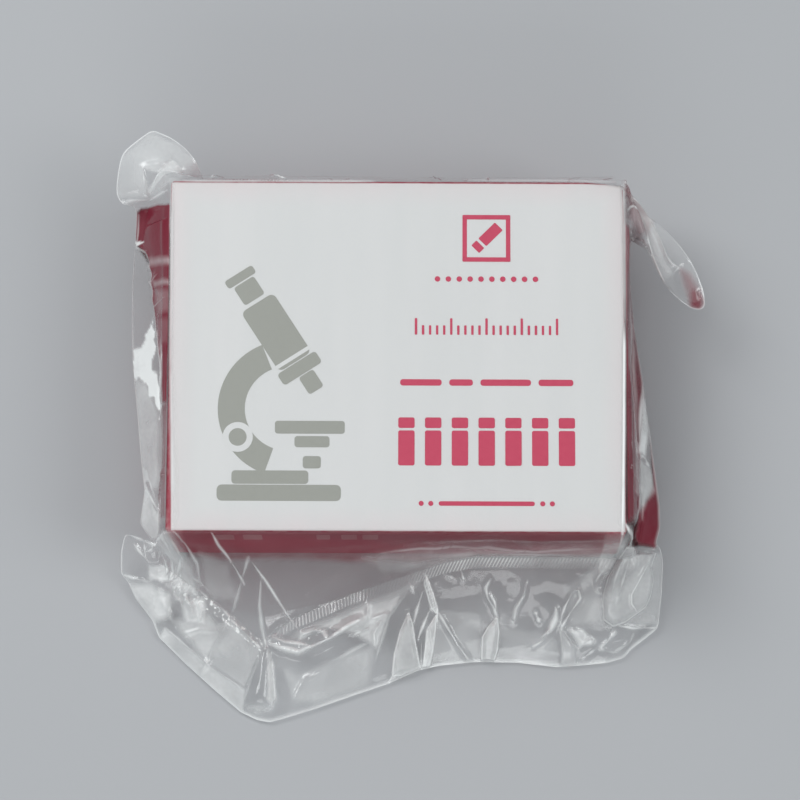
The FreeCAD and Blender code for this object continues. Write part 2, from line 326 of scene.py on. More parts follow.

# Creases seen from above: line in plan | half width and height of the ridge |
# whiteness and width of the white line on it, partly the film's whitening and partly a painted highlight
film["creases"] = [
    # front wall and the skirt's left half
    ([(-32.6, -32.2), (-29.8, -35.6), (-27.1, -39.4)], 0.8, 0.35, 0.8, 0.17),
    ([(-26.2, -35.6), (-28.0, -39.9), (-29.9, -44.0)], 0.9, 0.3, 0.5, 0.24),
    ([(-25.6, -36.2), (-21.6, -41.6), (-17.2, -47.3)], 0.8, 0.4, 0.8, 0.17),
    ([(-24.1, -38.7), (-24.5, -43.0), (-24.3, -46.6), (-23.6, -49.8)], 0.9, 0.5, 0.75, 0.2),
    ([(-39.5, -31.9), (-37.4, -33.4), (-35.6, -36.0), (-35.3, -38.6), (-36.3, -40.8)], 1.2, 0.8, 0.6, 0.2),
    ([(-40.3, -32.3), (-38.2, -35.2), (-37.4, -38.2), (-38.2, -40.6), (-37.2, -43.2)], 0.8, 0.7, 0.75, 0.24),
    ([(-39.4, -36.2), (-38.9, -38.4), (-39.6, -40.6)], 0.5, 0.5, 0.7, 0.18),
    ([(-42.1, -33.8), (-41.7, -34.9), (-41.7, -36.3), (-42.1, -37.3)], 0.4, 0.4, 1.0, 0.2),
    ([(-40.2, -34.5), (-40.3, -35.6), (-40.7, -36.6), (-41.1, -37.8), (-40.0, -37.3), (-38.9, -35.9),
      (-38.6, -34.9)], 0.5, 0.5, 1.0, 0.26),
    ([(-38.9, -36.8), (-39.6, -38.0), (-40.5, -39.4)], 0.4, 0.4, 0.9, 0.2),
    ([(-39.6, -38.7), (-39.5, -39.6), (-39.3, -40.1)], 0.6, 0.5, 1.1, 0.34),
    ([(-38.5, -40.1), (-38.3, -41.0), (-38.3, -41.7)], 0.6, 0.6, 1.2, 0.36),
    ([(-37.8, -38.7), (-36.0, -39.6), (-34.3, -40.8)], 0.5, 0.3, 0.6, 0.2),
    ([(-37.4, -37.3), (-34.6, -39.1), (-33.8, -40.5)], 0.6, 0.35, 0.5, 0.22),
    ([(-45.9, -33.1), (-44.5, -32.6), (-44.0, -31.9)], 0.5, 0.3, 0.8, 0.2),
    ([(-43.3, -35.9), (-43.3, -38.2), (-43.4, -40.6)], 0.9, 0.5, 0.35, 0.3),
    ([(-45.3, -36.8), (-43.5, -37.8), (-42.0, -38.7)], 0.8, 0.4, 0.4, 0.26),
    ([(-41.0, -44.1), (-42.2, -42.5), (-42.9, -41.1)], 0.9, 0.4, 0.4, 0.3),
    ([(-38.6, -41.0), (-37.4, -42.4), (-36.9, -44.6)], 0.9, 0.8, 0.95, 0.34),
    ([(-36.2, -41.6), (-35.4, -43.4), (-35.9, -45.2)], 0.6, 0.5, 0.8, 0.22),
    ([(-45.8, -31.0), (-44.3, -31.8), (-41.5, -32.5), (-40.4, -34.0), (-39.6, -35.4)], 0.9, 0.7, 0.95, 0.26),
    ([(-47.9, -31.2), (-46.4, -33.2), (-44.9, -34.8)], 0.6, 0.5, 0.85, 0.18),
    ([(-45.9, -31.2), (-45.6, -33.8)], 0.5, 0.4, 0.75, 0.16),
    ([(-44.9, -34.8), (-43.4, -34.7), (-42.3, -33.6)], 0.5, 0.3, 0.6, 0.18),
    ([(-50.4, -36.4), (-48.2, -37.2), (-45.5, -37.9)], 0.6, 0.5, 0.8, 0.22),
    ([(-49.6, -29.2), (-47.4, -30.2), (-45.8, -31.0)], 0.5, 0.3, 0.5, 0.18),
    ([(-42.3, -46.1), (-38.3, -49.4), (-34.3, -52.7), (-31.2, -55.0), (-27.4, -57.5)], 0.8, 0.4, 0.6, 0.2),
    ([(-35.9, -54.7), (-34.3, -52.3), (-33.4, -49.9), (-31.7, -47.0), (-30.3, -44.6)], 0.8, 0.4, 0.5, 0.24),
    ([(-41.6, -40.2), (-41.6, -44.0), (-39.9, -46.3)], 0.8, 0.3, 0.3, 0.3),
    ([(-39.2, -47.5), (-35.9, -46.6), (-32.4, -46.8)], 0.7, 0.25, 0.3, 0.3),
    ([(-32.4, -49.8), (-29.8, -52.8)], 0.6, 0.2, 0.3, 0.26),
    ([(-33.8, -41.8), (-31.8, -42.7), (-30.2, -44.4)], 0.6, 0.35, 0.6, 0.2),
    ([(-30.1, -44.7), (-27.5, -47.1), (-24.7, -49.9)], 0.6, 0.5, 0.85, 0.22),
    ([(-23.2, -50.2), (-22.6, -54.6), (-21.9, -59.2)], 0.4, 0.0, 0.75, 0.3),
    ([(-21.9, -59.2), (-23.0, -60.8), (-25.2, -61.3), (-27.4, -60.2)], 0.4, 0.0, 0.45, 0.4),
    ([(-24.4, -50.4), (-26.4, -55.4), (-27.6, -59.6)], 0.4, 0.0, 0.35, 0.26),
    # middle of the skirt, with the big glint below the sealed band
    ([(-19.0, -48.0), (-14.6, -46.0), (-10.4, -44.4), (-5.8, -42.3), (1.1, -39.8),
      (4.4, -37.6)], 0.5, 0.0, 0.42, 0.75),
    ([(-23.2, -47.6), (-20.4, -48.7), (-17.8, -49.0), (-15.4, -49.6)], 1.0, 1.0, 0.9, 0.24),
    ([(-23.4, -49.0), (-20.8, -49.9), (-17.6, -50.6), (-15.4, -49.7), (-12.1, -48.2), (-8.6, -45.8),
      (-5.4, -44.3)], 1.6, 1.7, 1.0, 0.36),
    ([(-17.6, -47.5), (-14.8, -46.5), (-13.1, -46.9), (-12.5, -48.3)], 0.8, 0.7, 1.0, 0.26),
    ([(-4.9, -41.6), (-5.4, -44.9), (-7.2, -46.5)], 0.7, 0.4, 0.6, 0.2),
    ([(-4.9, -44.8), (-1.6, -43.7), (-4.0, -47.2), (-3.7, -49.6)], 0.7, 0.6, 0.8, 0.24),
    ([(-8.2, -47.6), (-6.2, -46.8), (-4.6, -46.2)], 0.6, 0.5, 0.7, 0.24),
    ([(-17.4, -54.9), (-14.6, -53.7), (-10.5, -51.8), (-7.7, -50.2), (-4.4, -48.5)], 1.0, 0.15, 0.4, 0.3),
    ([(-18.6, -58.8), (-16.6, -55.4), (-13.8, -54.2)], 0.7, 0.5, 0.55, 0.22),
    ([(2.5, -39.3), (-1.2, -44.1), (-3.7, -52.0)], 0.7, 0.35, 0.35, 0.22),
    ([(4.9, -39.8), (3.9, -42.8), (3.3, -45.2)], 0.6, 0.35, 0.75, 0.2),
    ([(6.3, -42.8), (5.0, -45.8), (4.0, -48.3)], 0.6, 0.4, 0.8, 0.2),
    ([(7.9, -43.7), (9.6, -46.4), (11.2, -49.0), (13.7, -52.1)], 0.8, 0.7, 0.9, 0.26),
    ([(2.6, -38.6), (3.4, -40.0)], 0.4, 0.3, 0.9, 0.2),
    ([(5.0, -36.0), (5.2, -38.4)], 0.4, 0.3, 0.5, 0.18),
    ([(11.9, -36.4), (12.4, -38.0)], 0.4, 0.3, 0.85, 0.18),
    ([(8.8, -36.9), (11.0, -37.7)], 0.5, 0.3, 0.5, 0.2),
    ([(-3.0, -34.4), (4.0, -33.7), (10.0, -33.2), (16.0, -33.1), (25.0, -33.4),
      (36.0, -33.2)], 0.3, 0.0, 0.5, 0.13),
    ([(6.0, -34.0), (14.0, -33.5), (22.0, -33.6), (34.0, -33.7)], 0.3, 0.1, 0.4, 0.12),
    # right half of the skirt
    ([(17.3, -37.6), (16.3, -39.2), (16.7, -41.0), (17.8, -42.6), (18.5, -44.4)], 0.7, 0.6, 0.85, 0.22),
    ([(17.0, -40.2), (18.0, -41.6), (18.4, -43.6)], 0.5, 0.4, 0.8, 0.18),
    ([(23.8, -37.8), (23.3, -40.6), (21.9, -42.8), (21.5, -45.2)], 0.8, 0.6, 0.5, 0.3),
    ([(25.4, -43.3), (26.3, -45.3)], 0.6, 0.4, 0.75, 0.3),
    ([(29.3, -42.4), (29.1, -44.6), (28.1, -46.7), (26.2, -48.1)], 1.0, 1.0, 1.0, 0.4),
    ([(28.8, -46.2), (26.6, -48.6), (24.6, -49.6)], 0.8, 0.5, 0.5, 0.3),
    ([(32.2, -39.9), (30.8, -42.5), (30.2, -44.2), (30.0, -46.0)], 0.5, 0.5, 0.85, 0.18),
    ([(30.2, -46.2), (31.7, -43.7), (33.6, -41.0), (33.2, -39.6), (32.2, -39.9)], 0.5, 0.6, 0.9, 0.2),
    ([(31.8, -46.4), (33.2, -47.5), (34.3, -49.0), (36.2, -48.4)], 1.3, 0.9, 0.9, 0.42),
    ([(40.0, -46.8), (38.8, -48.3), (37.4, -49.5)], 0.7, 0.6, 0.95, 0.32),
    ([(36.9, -49.5), (34.1, -51.6)], 0.7, 0.35, 0.6, 0.2),
    ([(30.0, -46.2), (30.4, -49.3), (30.6, -52.8)], 0.6, 0.5, 0.55, 0.2),
    ([(37.0, -49.9), (40.0, -50.3), (43.0, -48.4), (43.5, -47.0)], 0.7, 0.4, 0.4, 0.24),
    ([(38.8, -45.4), (43.5, -46.0), (47.9, -45.7)], 0.6, 0.4, 0.7, 0.18),
    # pouch at the front right corner
    ([(41.2, -33.6), (39.6, -38.2), (39.0, -43.2)], 0.8, 0.6, 0.55, 0.3),
    ([(42.2, -34.6), (41.0, -38.6), (40.2, -42.0)], 0.6, 0.5, 0.6, 0.24),
    ([(47.4, -32.4), (45.4, -35.8), (42.8, -40.5), (42.9, -42.1), (43.9, -43.3), (45.6, -41.9),
      (46.5, -39.1), (46.6, -36.3), (45.4, -34.2)], 0.5, 0.3, 0.7, 0.16),
    ([(38.2, -35.2), (36.3, -38.0), (36.5, -39.2), (37.7, -39.8)], 0.5, 0.4, 0.45, 0.2),
    # left side: the inner edge of the red patch, and small creases at its ends
    ([(-47.3, 27.8), (-47.5, 25.0), (-47.9, 22.6), (-46.5, 21.5), (-45.6, 20.4), (-44.7, 18.1),
      (-44.2, 12.5), (-43.8, 8.8), (-43.1, 4.1), (-42.3, -0.5), (-41.8, -8.0)], 0.5, 0.3, 0.65, 0.17),
    ([(-45.9, -21.8), (-44.8, -23.1), (-43.0, -26.4), (-42.0, -29.2)], 0.6, 0.4, 0.7, 0.2),
    ([(-44.8, -23.7), (-43.8, -27.3), (-41.9, -29.7)], 0.5, 0.3, 0.5, 0.18),
    ([(-43.2, -9.0), (-44.4, -15.0), (-43.6, -20.4)], 0.6, 0.3, 0.3, 0.24),
    ([(-42.1, 3.9), (-42.0, -2.6), (-42.1, -15.5), (-42.4, -26.8)], 0.5, 0.15, 0.6, 0.2),
    ([(-48.8, 20.6), (-48.8, 13.8), (-48.6, 8.2), (-48.4, 2.5), (-48.1, -1.2), (-47.4, -8.7),
      (-46.7, -14.3)], 0.5, 0.0, 0.35, 0.25),
    # right side
    ([(42.5, 22.0), (43.2, 15.0), (43.8, 8.8), (45.1, -0.3), (46.4, -10.5), (47.4, -18.7), (48.1, -24.3),
      (48.1, -28.2), (47.3, -31.0)], 0.5, 0.0, 0.6, 0.32),
    ([(45.1, -2.6), (44.5, -8.7), (44.0, -14.6)], 0.8, 0.4, 0.8, 0.3),
    ([(44.4, -15.5), (45.4, -15.9), (46.1, -17.6)], 0.7, 0.4, 0.7, 0.3),
    ([(43.6, -15.1), (44.0, -20.3), (43.5, -25.8), (42.1, -29.8)], 0.6, 0.4, 0.75, 0.2),
    ([(42.0, 24.0), (42.0, 8.0), (42.1, -6.0), (42.3, -16.0)], 0.5, 0.1, 0.45, 0.2),
    ([(40.2, -30.0), (41.1, -31.4), (41.9, -33.8)], 0.6, 0.2, 0.8, 0.2),
    # painted highlights along the carton's top edges, where the film over the folds catches the light
    ([(40.7, 31.4), (40.6, 4.0)], 0.5, 0.0, 0.6, 0.36),
    ([(40.6, 6.0), (40.36, -13.5), (40.1, -26.0), (39.9, -33.6)], 0.5, 0.0, 1.35, 0.25),
    ([(-40.55, 31.0), (-40.3, 0.0), (-39.4, -31.6)], 0.5, 0.0, 0.8, 0.3),
    ([(39.4, 31.9), (30.0, 32.1), (12.0, 32.1)], 0.5, 0.0, 0.3, 0.2),
    # ear at the back left
    ([(-49.6, 29.5), (-46.9, 29.9), (-43.2, 30.1), (-41.2, 30.1)], 0.6, 0.3, 0.5, 0.24),
    # a painted highlight along the carton's back top edge
    ([(-39.9, 31.75), (-24.0, 31.8), (-4.0, 31.85)], 0.5, 0.0, 0.6, 0.2),
    ([(-46.4, 35.9), (-45.7, 30.8)], 0.5, 0.4, 0.7, 0.17),
    ([(-46.4, 35.8), (-43.9, 36.1), (-41.4, 37.1), (-40.3, 36.0), (-39.0, 34.9)], 0.9, 0.4, 0.45, 0.4),
    ([(-45.6, 30.9), (-43.2, 32.9), (-41.7, 33.9)], 0.9, 0.4, 0.45, 0.5),
    ([(-50.8, 30.4), (-48.6, 30.9), (-46.8, 31.3)], 0.5, -0.35, 0.0, 0.2),
    ([(-43.6, 34.6), (-42.6, 36.2)], 0.6, 0.3, 0.4, 0.4),
    # ear at the back right
    ([(46.4, 26.8), (47.9, 23.4), (49.2, 20.2), (50.0, 19.1), (51.2, 18.4)], 0.6, 0.5, 0.75, 0.19),
    ([(51.2, 18.4), (52.1, 19.2)], 0.5, 0.3, 0.8, 0.18),
    ([(51.4, 18.4), (50.5, 17.5)], 0.5, 0.3, 0.8, 0.18),
    ([(41.4, 26.9), (42.0, 27.8), (42.7, 28.2), (43.8, 27.7), (44.7, 26.5), (45.3, 24.7), (45.8, 22.7),
      (47.5, 18.4), (48.8, 15.7)], 0.5, 0.0, 1.0, 0.2),
    ([(41.7, 24.6), (43.2, 24.2), (44.4, 23.4), (45.7, 22.2)], 0.5, 0.0, 0.8, 0.2),
    ([(41.0, 31.9), (42.5, 31.4), (44.4, 29.9), (46.4, 27.2)], 0.5, 0.0, 1.1, 0.24),
    ([(55.2, 15.0), (54.4, 14.0), (54.9, 12.6)], 0.4, 0.2, 0.5, 0.18),
]

# Flat folds lying on the skirt: corners in plan | height | how hazy inside | whiteness of the edge, partly a
# painted highlight
film["pleats"] = [
    ([(2.3, -43.6), (0.9, -46.7), (-0.2, -51.0), (-0.5, -54.7), (2.4, -54.5), (4.5, -53.4), (3.5, -48.6),
      (3.0, -45.3)], 1.3, 0.45, 1.0),
    ([(-0.5, -54.6), (-1.4, -56.2), (4.5, -53.4), (2.2, -54.2)], 0.6, 0.4, 0.6),
    ([(5.5, -37.0), (5.2, -38.4), (6.5, -42.6), (7.6, -43.8), (7.5, -42.6), (6.8, -40.3)], 0.9, 0.7, 0.95),
    ([(7.5, -43.8), (5.8, -46.4), (5.5, -49.9), (5.0, -53.6), (6.1, -53.4), (6.8, -49.9)], 0.9, 0.5, 1.0),
    ([(18.5, -44.3), (16.9, -46.0), (15.9, -47.7), (15.8, -52.2), (17.8, -52.3), (18.6, -50.0),
      (18.8, -46.8)], 1.4, 0.6, 1.0),
    ([(29.9, -46.2), (30.4, -49.3), (30.6, -52.8), (32.9, -52.5), (32.7, -49.3),
      (30.9, -46.9)], 0.8, 0.3, 0.35),
    ([(41.1, -33.2), (40.2, -34.6), (38.5, -37.6), (37.7, -40.6), (37.9, -44.6), (39.6, -45.8),
      (41.9, -45.0), (43.8, -43.6), (45.7, -42.2), (46.6, -40.1), (47.0, -37.5), (46.5, -35.2),
      (47.4, -32.6)], 2.2, 0.42, 0.5),
]

# Patches seen from above: corners in plan | softness of the edge | how hazy, some of them painted highlights,
# or below zero how much clearer
film["patches"] = [
    ([(-49.8, -38.0), (-45.6, -38.2), (-41.6, -40.6), (-41.6, -44.2), (-44.4, -45.0),
      (-48.0, -41.0)], 1.6, 0.5),
    ([(-45.1, -35.2), (-40.8, -35.2), (-40.8, -37.8), (-45.2, -37.9)], 0.6, 0.36),
    ([(-44.0, -31.6), (-39.8, -32.2), (-36.6, -36.0), (-36.2, -40.4), (-39.8, -41.0),
      (-41.0, -35.0)], 1.4, 0.34),
    ([(-39.0, -41.0), (-35.2, -41.0), (-34.6, -45.6), (-38.4, -45.4)], 1.2, 0.5),
    ([(-49.7, -29.4), (-50.3, -32.6), (-50.0, -35.8), (-45.7, -37.4), (-45.8, -33.7),
      (-47.0, -30.8)], 0.5, -0.75),
    ([(-42.3, -46.1), (-34.3, -52.7), (-27.4, -57.5), (-27.9, -61.4), (-33.0, -57.4), (-38.6, -52.4),
      (-43.4, -47.7)], 0.4, 0.3),
    ([(-33.0, -45.4), (-30.3, -45.0), (-24.8, -50.2), (-27.6, -57.0), (-34.2, -52.4)], 0.5, 0.2),
    ([(-41.0, -45.0), (-34.0, -43.6), (-31.6, -47.0), (-34.4, -52.0)], 1.4, 0.26),
    ([(-35.0, -34.6), (-30.4, -36.6), (-28.2, -41.4), (-33.6, -41.0)], 1.2, 0.16),
    ([(-41.5, -34.0), (-40.6, -34.8), (-40.9, -36.4), (-41.4, -38.0), (-41.8, -36.2),
      (-41.8, -34.8)], 0.3, -0.9),
    ([(-23.6, -51.0), (-26.9, -58.0), (-25.2, -59.6), (-23.0, -58.6)], 0.5, -0.8),
    ([(-26.6, -60.6), (-23.4, -60.6), (-24.9, -61.6)], 0.7, 0.35),
    ([(-23.3, -50.6), (-22.7, -50.6), (-21.8, -58.8), (-22.6, -60.6), (-23.4, -59.0)], 0.3, 0.5),
    ([(-21.4, -52.6), (-20.2, -54.2), (-18.9, -59.8), (-21.6, -61.6)], 0.4, -0.85),
    ([(-19.9, -54.1), (-17.4, -54.9), (-7.7, -50.4), (-4.4, -50.0), (-5.0, -56.6), (-14.6, -59.8),
      (-17.6, -59.6), (-18.7, -58.6)], 1.6, 0.2),
    ([(-17.4, -50.6), (-12.0, -49.0), (-8.0, -47.9), (-7.0, -49.0), (-10.5, -51.4),
      (-17.0, -53.8)], 0.5, -0.6),
    ([(-14.0, -45.8), (-5.4, -41.8), (1.2, -40.2), (-1.4, -44.0), (-3.4, -49.8), (-7.0, -47.4)], 0.9, 0.36),
    ([(-17.4, -46.6), (-12.0, -45.4), (-8.0, -44.4), (-14.0, -46.4), (-18.0, -48.6)], 0.5, 0.4),
    ([(5.4, -46.0), (7.9, -44.6), (12.6, -51.4), (6.6, -51.8)], 0.6, 0.16),
    ([(8.4, -43.2), (15.4, -43.6), (15.4, -51.4), (13.0, -51.0)], 0.8, 0.14),
    ([(19.2, -46.0), (29.0, -47.8), (29.6, -50.4), (19.2, -51.0)], 1.4, 0.14),
    ([(31.0, -39.0), (37.0, -35.2), (37.6, -44.8), (32.0, -46.0)], 1.4, 0.16),
    ([(31.6, -46.6), (34.2, -46.4), (36.4, -48.0), (33.6, -49.6)], 0.6, 0.5),
    ([(39.0, -47.6), (42.4, -47.2), (42.6, -48.4), (38.6, -50.0), (36.6, -50.0)], 0.6, -0.7),
    ([(43.6, -34.4), (48.6, -32.4), (48.6, -45.0), (40.6, -45.6), (46.4, -41.0), (47.0, -36.6)], 0.6, 0.18),
    ([(37.0, -32.6), (41.4, -32.4), (39.0, -36.0), (36.6, -37.6)], 0.8, 0.3),
    # film drawn over the foot of the front wall
    ([(-6.0, -35.0), (0.0, -34.2), (4.0, -33.6), (9.0, -33.1), (13.0, -32.9), (18.0, -33.1), (26.0, -33.2),
      (38.0, -33.0), (38.5, -34.8), (10.0, -35.2), (-2.0, -36.5)], 1.0, 0.17),
    # left side
    # the first two are painted highlights: a bright diagonal streak down the side and a bright spot
    ([(-44.3, 8.5), (-46.2, 5.4), (-48.3, 4.0), (-48.4, -1.3), (-46.9, -0.6), (-45.5, -2.4), (-44.7, -4.4),
      (-42.9, -8.4), (-41.9, -9.4), (-43.0, -3.8), (-44.3, -0.2), (-44.6, 1.4), (-44.2, 4.5)], 0.4, 1.0),
    ([(-48.6, 24.2), (-47.6, 24.0), (-46.6, 22.7), (-47.9, 22.8)], 0.3, 1.0),
    ([(-48.4, -1.3), (-45.5, -2.4), (-43.2, -8.4), (-43.0, -22.0), (-46.4, -22.0), (-47.8, -9.0)], 1.2, 0.24),
    ([(-46.3, -17.6), (-45.5, -18.0), (-44.8, -19.8), (-43.8, -23.1), (-42.9, -26.0), (-42.7, -29.0),
      (-43.3, -31.0), (-44.4, -30.7), (-46.3, -28.3), (-46.6, -27.0), (-46.1, -23.5)], 0.4, 0.42),
    ([(-45.7, -20.1), (-45.1, -20.4), (-42.9, -25.9), (-43.4, -26.4)], 0.3, -0.9),
    ([(-44.8, 19.4), (-40.8, 17.4), (-40.6, 16.2), (-44.6, 18.1)], 0.9, 0.22),
    ([(-44.1, 15.1), (-40.8, 13.4), (-40.7, 12.5), (-43.9, 14.1)], 0.7, 0.22),
    ([(-43.8, 13.2), (-40.7, 11.6), (-40.8, 7.5), (-43.2, 8.9)], 1.0, 0.12),
    ([(-43.1, 7.6), (-40.8, 6.4), (-40.9, 1.9), (-42.2, 2.7)], 0.8, 0.08),
    # right side
    ([(45.2, -1.0), (44.4, -8.0), (43.9, -15.0), (45.4, -15.4), (46.2, -10.4)], 0.7, 0.5),
    ([(46.4, -17.6), (47.2, -21.7), (45.6, -23.7), (44.4, -26.8), (43.9, -21.0), (44.2, -16.2)], 0.8, 0.3),
    ([(42.4, 10.0), (43.4, 9.0), (44.0, -12.0), (43.4, -24.0), (42.4, -24.0)], 0.6, 0.22),
    # ears
    ([(-50.9, 30.2), (-50.2, 37.6), (-44.7, 42.0), (-39.4, 39.6), (-36.0, 36.4), (-36.4, 33.6),
      (-42.0, 30.6)], 0.8, 0.22),
    ([(-44.6, 33.4), (-42.4, 36.4), (-40.8, 37.2), (-38.8, 34.9), (-42.0, 33.2), (-45.0, 30.8)], 0.6, 0.42),
    ([(-46.1, 35.4), (-43.6, 34.6), (-45.3, 31.5)], 0.2, -0.8),
    ([(46.4, 26.9), (51.3, 22.6), (54.7, 17.4), (55.8, 12.0), (52.0, 12.4), (48.4, 16.2), (46.4, 21.4),
      (42.4, 26.4), (42.0, 31.6)], 0.7, 0.07),
    ([(42.0, 33.0), (44.4, 30.9), (46.5, 27.0), (47.7, 23.9), (49.0, 20.8), (47.4, 20.0), (45.5, 23.9),
      (44.6, 26.6), (43.0, 28.8), (41.9, 28.8)], 0.5, 0.34),
    ([(47.7, 23.9), (49.6, 19.2), (50.9, 18.6), (50.4, 17.0), (48.9, 16.6), (47.2, 19.6),
      (46.4, 21.6)], 1.6, 0.3),
    ([(42.2, 28.6), (43.4, 28.0), (44.6, 25.0), (45.2, 22.6), (43.6, 24.4), (42.4, 26.2)], 0.8, 0.2),
    ([(50.0, 18.2), (52.0, 18.0), (54.0, 11.6), (51.2, 13.6)], 0.6, -0.7),
]

# Where the carton's red is mirrored in the film beside it, a painted reflection in the film's colour: corners
# in plan | softness | strength
film["mirrored"] = [
    ([(-40.5, 27.3), (-41.6, 27.5), (-43.4, 28.4), (-45.4, 28.9), (-46.8, 28.7), (-48.4, 27.4),
      (-48.4, 26.0), (-47.9, 23.4), (-46.6, 21.8), (-45.4, 20.2), (-44.6, 18.0), (-44.1, 12.5),
      (-43.7, 8.8), (-43.0, 4.1), (-42.2, -0.5), (-41.6, -8.0), (-40.5, -10.0)], 0.5, 1.0),
    ([(40.5, 25.0), (42.8, 22.0), (43.8, 9.0), (45.6, -2.0), (44.3, -14.0), (43.6, -26.0),
      (40.5, -31.0)], 0.8, 0.8),
    ([(43.4, -27.0), (45.6, -23.6), (47.0, -20.6), (46.6, -12.0), (48.3, -22.0), (48.4, -28.4),
      (47.2, -31.6), (42.4, -31.4)], 0.6, 0.95),
    ([(41.2, 33.4), (43.4, 31.4), (45.4, 28.8), (46.2, 26.6), (45.6, 24.0), (44.6, 27.0), (43.0, 29.2),
      (41.4, 29.6)], 1.2, 0.55),
    ([(41.6, 28.8), (43.8, 27.8), (45.0, 24.6), (44.0, 23.6), (42.2, 26.0)], 1.0, 0.45),
    ([(51.9, 17.9), (53.2, 17.2), (54.9, 14.6), (53.8, 12.6), (52.8, 14.8)], 1.6, 0.45),
    ([(53.4, 14.4), (54.6, 14.6), (55.9, 12.4), (55.4, 10.8), (53.6, 11.2)], 1.2, 0.8),
    ([(-40.5, -9.0), (-41.8, -9.0), (-42.2, -18.0), (-42.6, -28.0), (-40.5, -30.0)], 0.4, 0.5),
    # the front wall behind its film
    ([(-38.0, -32.0), (37.0, -32.0), (37.0, -34.0), (14.0, -34.0), (4.0, -35.0), (-8.0, -35.6),
      (-30.0, -35.8), (-37.0, -34.8)], 0.8, 0.5),
]


def softenRound(values, times):
    # rounds the corners of a closed run of values a little
    for _ in range(times):
        values = 0.25 * np.roll(values, 1, axis=0) + 0.5 * values + 0.25 * np.roll(values, -1, axis=0)
    return values


def lineOffset(points, line):
    # from each point to the nearest place on a line of several runs, and how far along it that is (0 to 1)
    line = np.array(line, float)
    lengths = np.linalg.norm(np.diff(line, axis=0), axis=1)
    best, offset, along = np.full(len(points), 1e9), np.zeros((len(points), 2)), np.zeros(len(points))
    done = 0.0
    for start, end, length in zip(line[:-1], line[1:], lengths):
        run = end - start
        share = np.clip(((points - start) @ run) / length ** 2, 0, 1)
        away = start + share[:, None] * run - points
        gap = np.linalg.norm(away, axis=1)
        nearer = gap < best
        best[nearer], offset[nearer] = gap[nearer], away[nearer]
        along[nearer] = (done + share[nearer] * length) / lengths.sum()
        done += length
    return offset, best, along


def insideOutline(points, corners):
    corners = np.array(corners, float)
    inside = np.zeros(len(points), bool)
    for start, end in zip(corners, np.roll(corners, -1, axis=0)):
        crosses = (start[1] > points[:, 1]) != (end[1] > points[:, 1])
        slope = (end[0] - start[0]) / (end[1] - start[1] + 1e-12)
        inside ^= crosses & (points[:, 0] < start[0] + slope * (points[:, 1] - start[1]))
    return inside


def softInside(points, corners, soft):
    # 1 inside the outline, 0 outside, with a soft edge
    gap = lineOffset(points, [*corners, corners[0]])[1]
    return np.clip(0.5 + np.where(insideOutline(points, corners), gap, -gap) / soft, 0, 1)


def ragged(corners, shake, spread):
    # cuts an outline into short runs and shakes their ends a little
    points = []
    for start, end in zip(corners, [*corners[1:], corners[0]]):
        count = max(1, round(math.dist(start, end) / 1.1))
        for step in range(count):
            points.append([a + (b - a) * step / count + spread.uniform(-shake, shake)
                           for a, b in zip(start, end)])
    return points


def crumple(points, spacing, seed):
    # the height of a crumpled sheet, from -1 to 1: flat triangles between scattered knots
    spread = np.random.default_rng(seed)
    low = points.min(axis=0) - spacing
    count = np.ceil((points.max(axis=0) + spacing - low) / spacing).astype(int) + 1
    cells = np.stack(np.meshgrid(*[np.arange(c) for c in count], indexing="ij"), axis=-1).reshape(-1, 2)
    knots = low + spacing * (cells + spread.uniform(-0.42, 0.42, cells.shape))
    heights = spread.uniform(-1, 1, len(knots))
    made = delaunay_2d_cdt([Vector(knot) for knot in knots], [], [], 0, 1e-6)
    places = np.array([list(place) for place in made[0]])
    heights = heights[[source[0] if source else 0 for source in made[3]]]
    triangles = np.array([list(face) for face in made[2]])
    order = np.argsort(points[:, 0], kind="stable")
    sortedX = points[order, 0]
    starts = np.searchsorted(sortedX, places[triangles][:, :, 0].min(axis=1))
    stops = np.searchsorted(sortedX, places[triangles][:, :, 0].max(axis=1), side="right")
    field = np.zeros(len(points))
    for corners, start, stop in zip(triangles, starts, stops):
        a, b, c = places[corners]
        ab, ac = b - a, c - a
        area = ab[0] * ac[1] - ab[1] * ac[0]
        if start == stop or abs(area) < 1e-9:
            continue
        index = order[start:stop]
        fromA = points[index] - a
        v = (fromA[:, 0] * ac[1] - fromA[:, 1] * ac[0]) / area
        w = (ab[0] * fromA[:, 1] - ab[1] * fromA[:, 0]) / area
        hit = (v >= -1e-6) & (w >= -1e-6) & (v + w <= 1 + 1e-6)
        heightA, heightB, heightC = heights[corners]
        field[index[hit]] = heightA + v[hit] * (heightB - heightA) + w[hit] * (heightC - heightA)
    return field


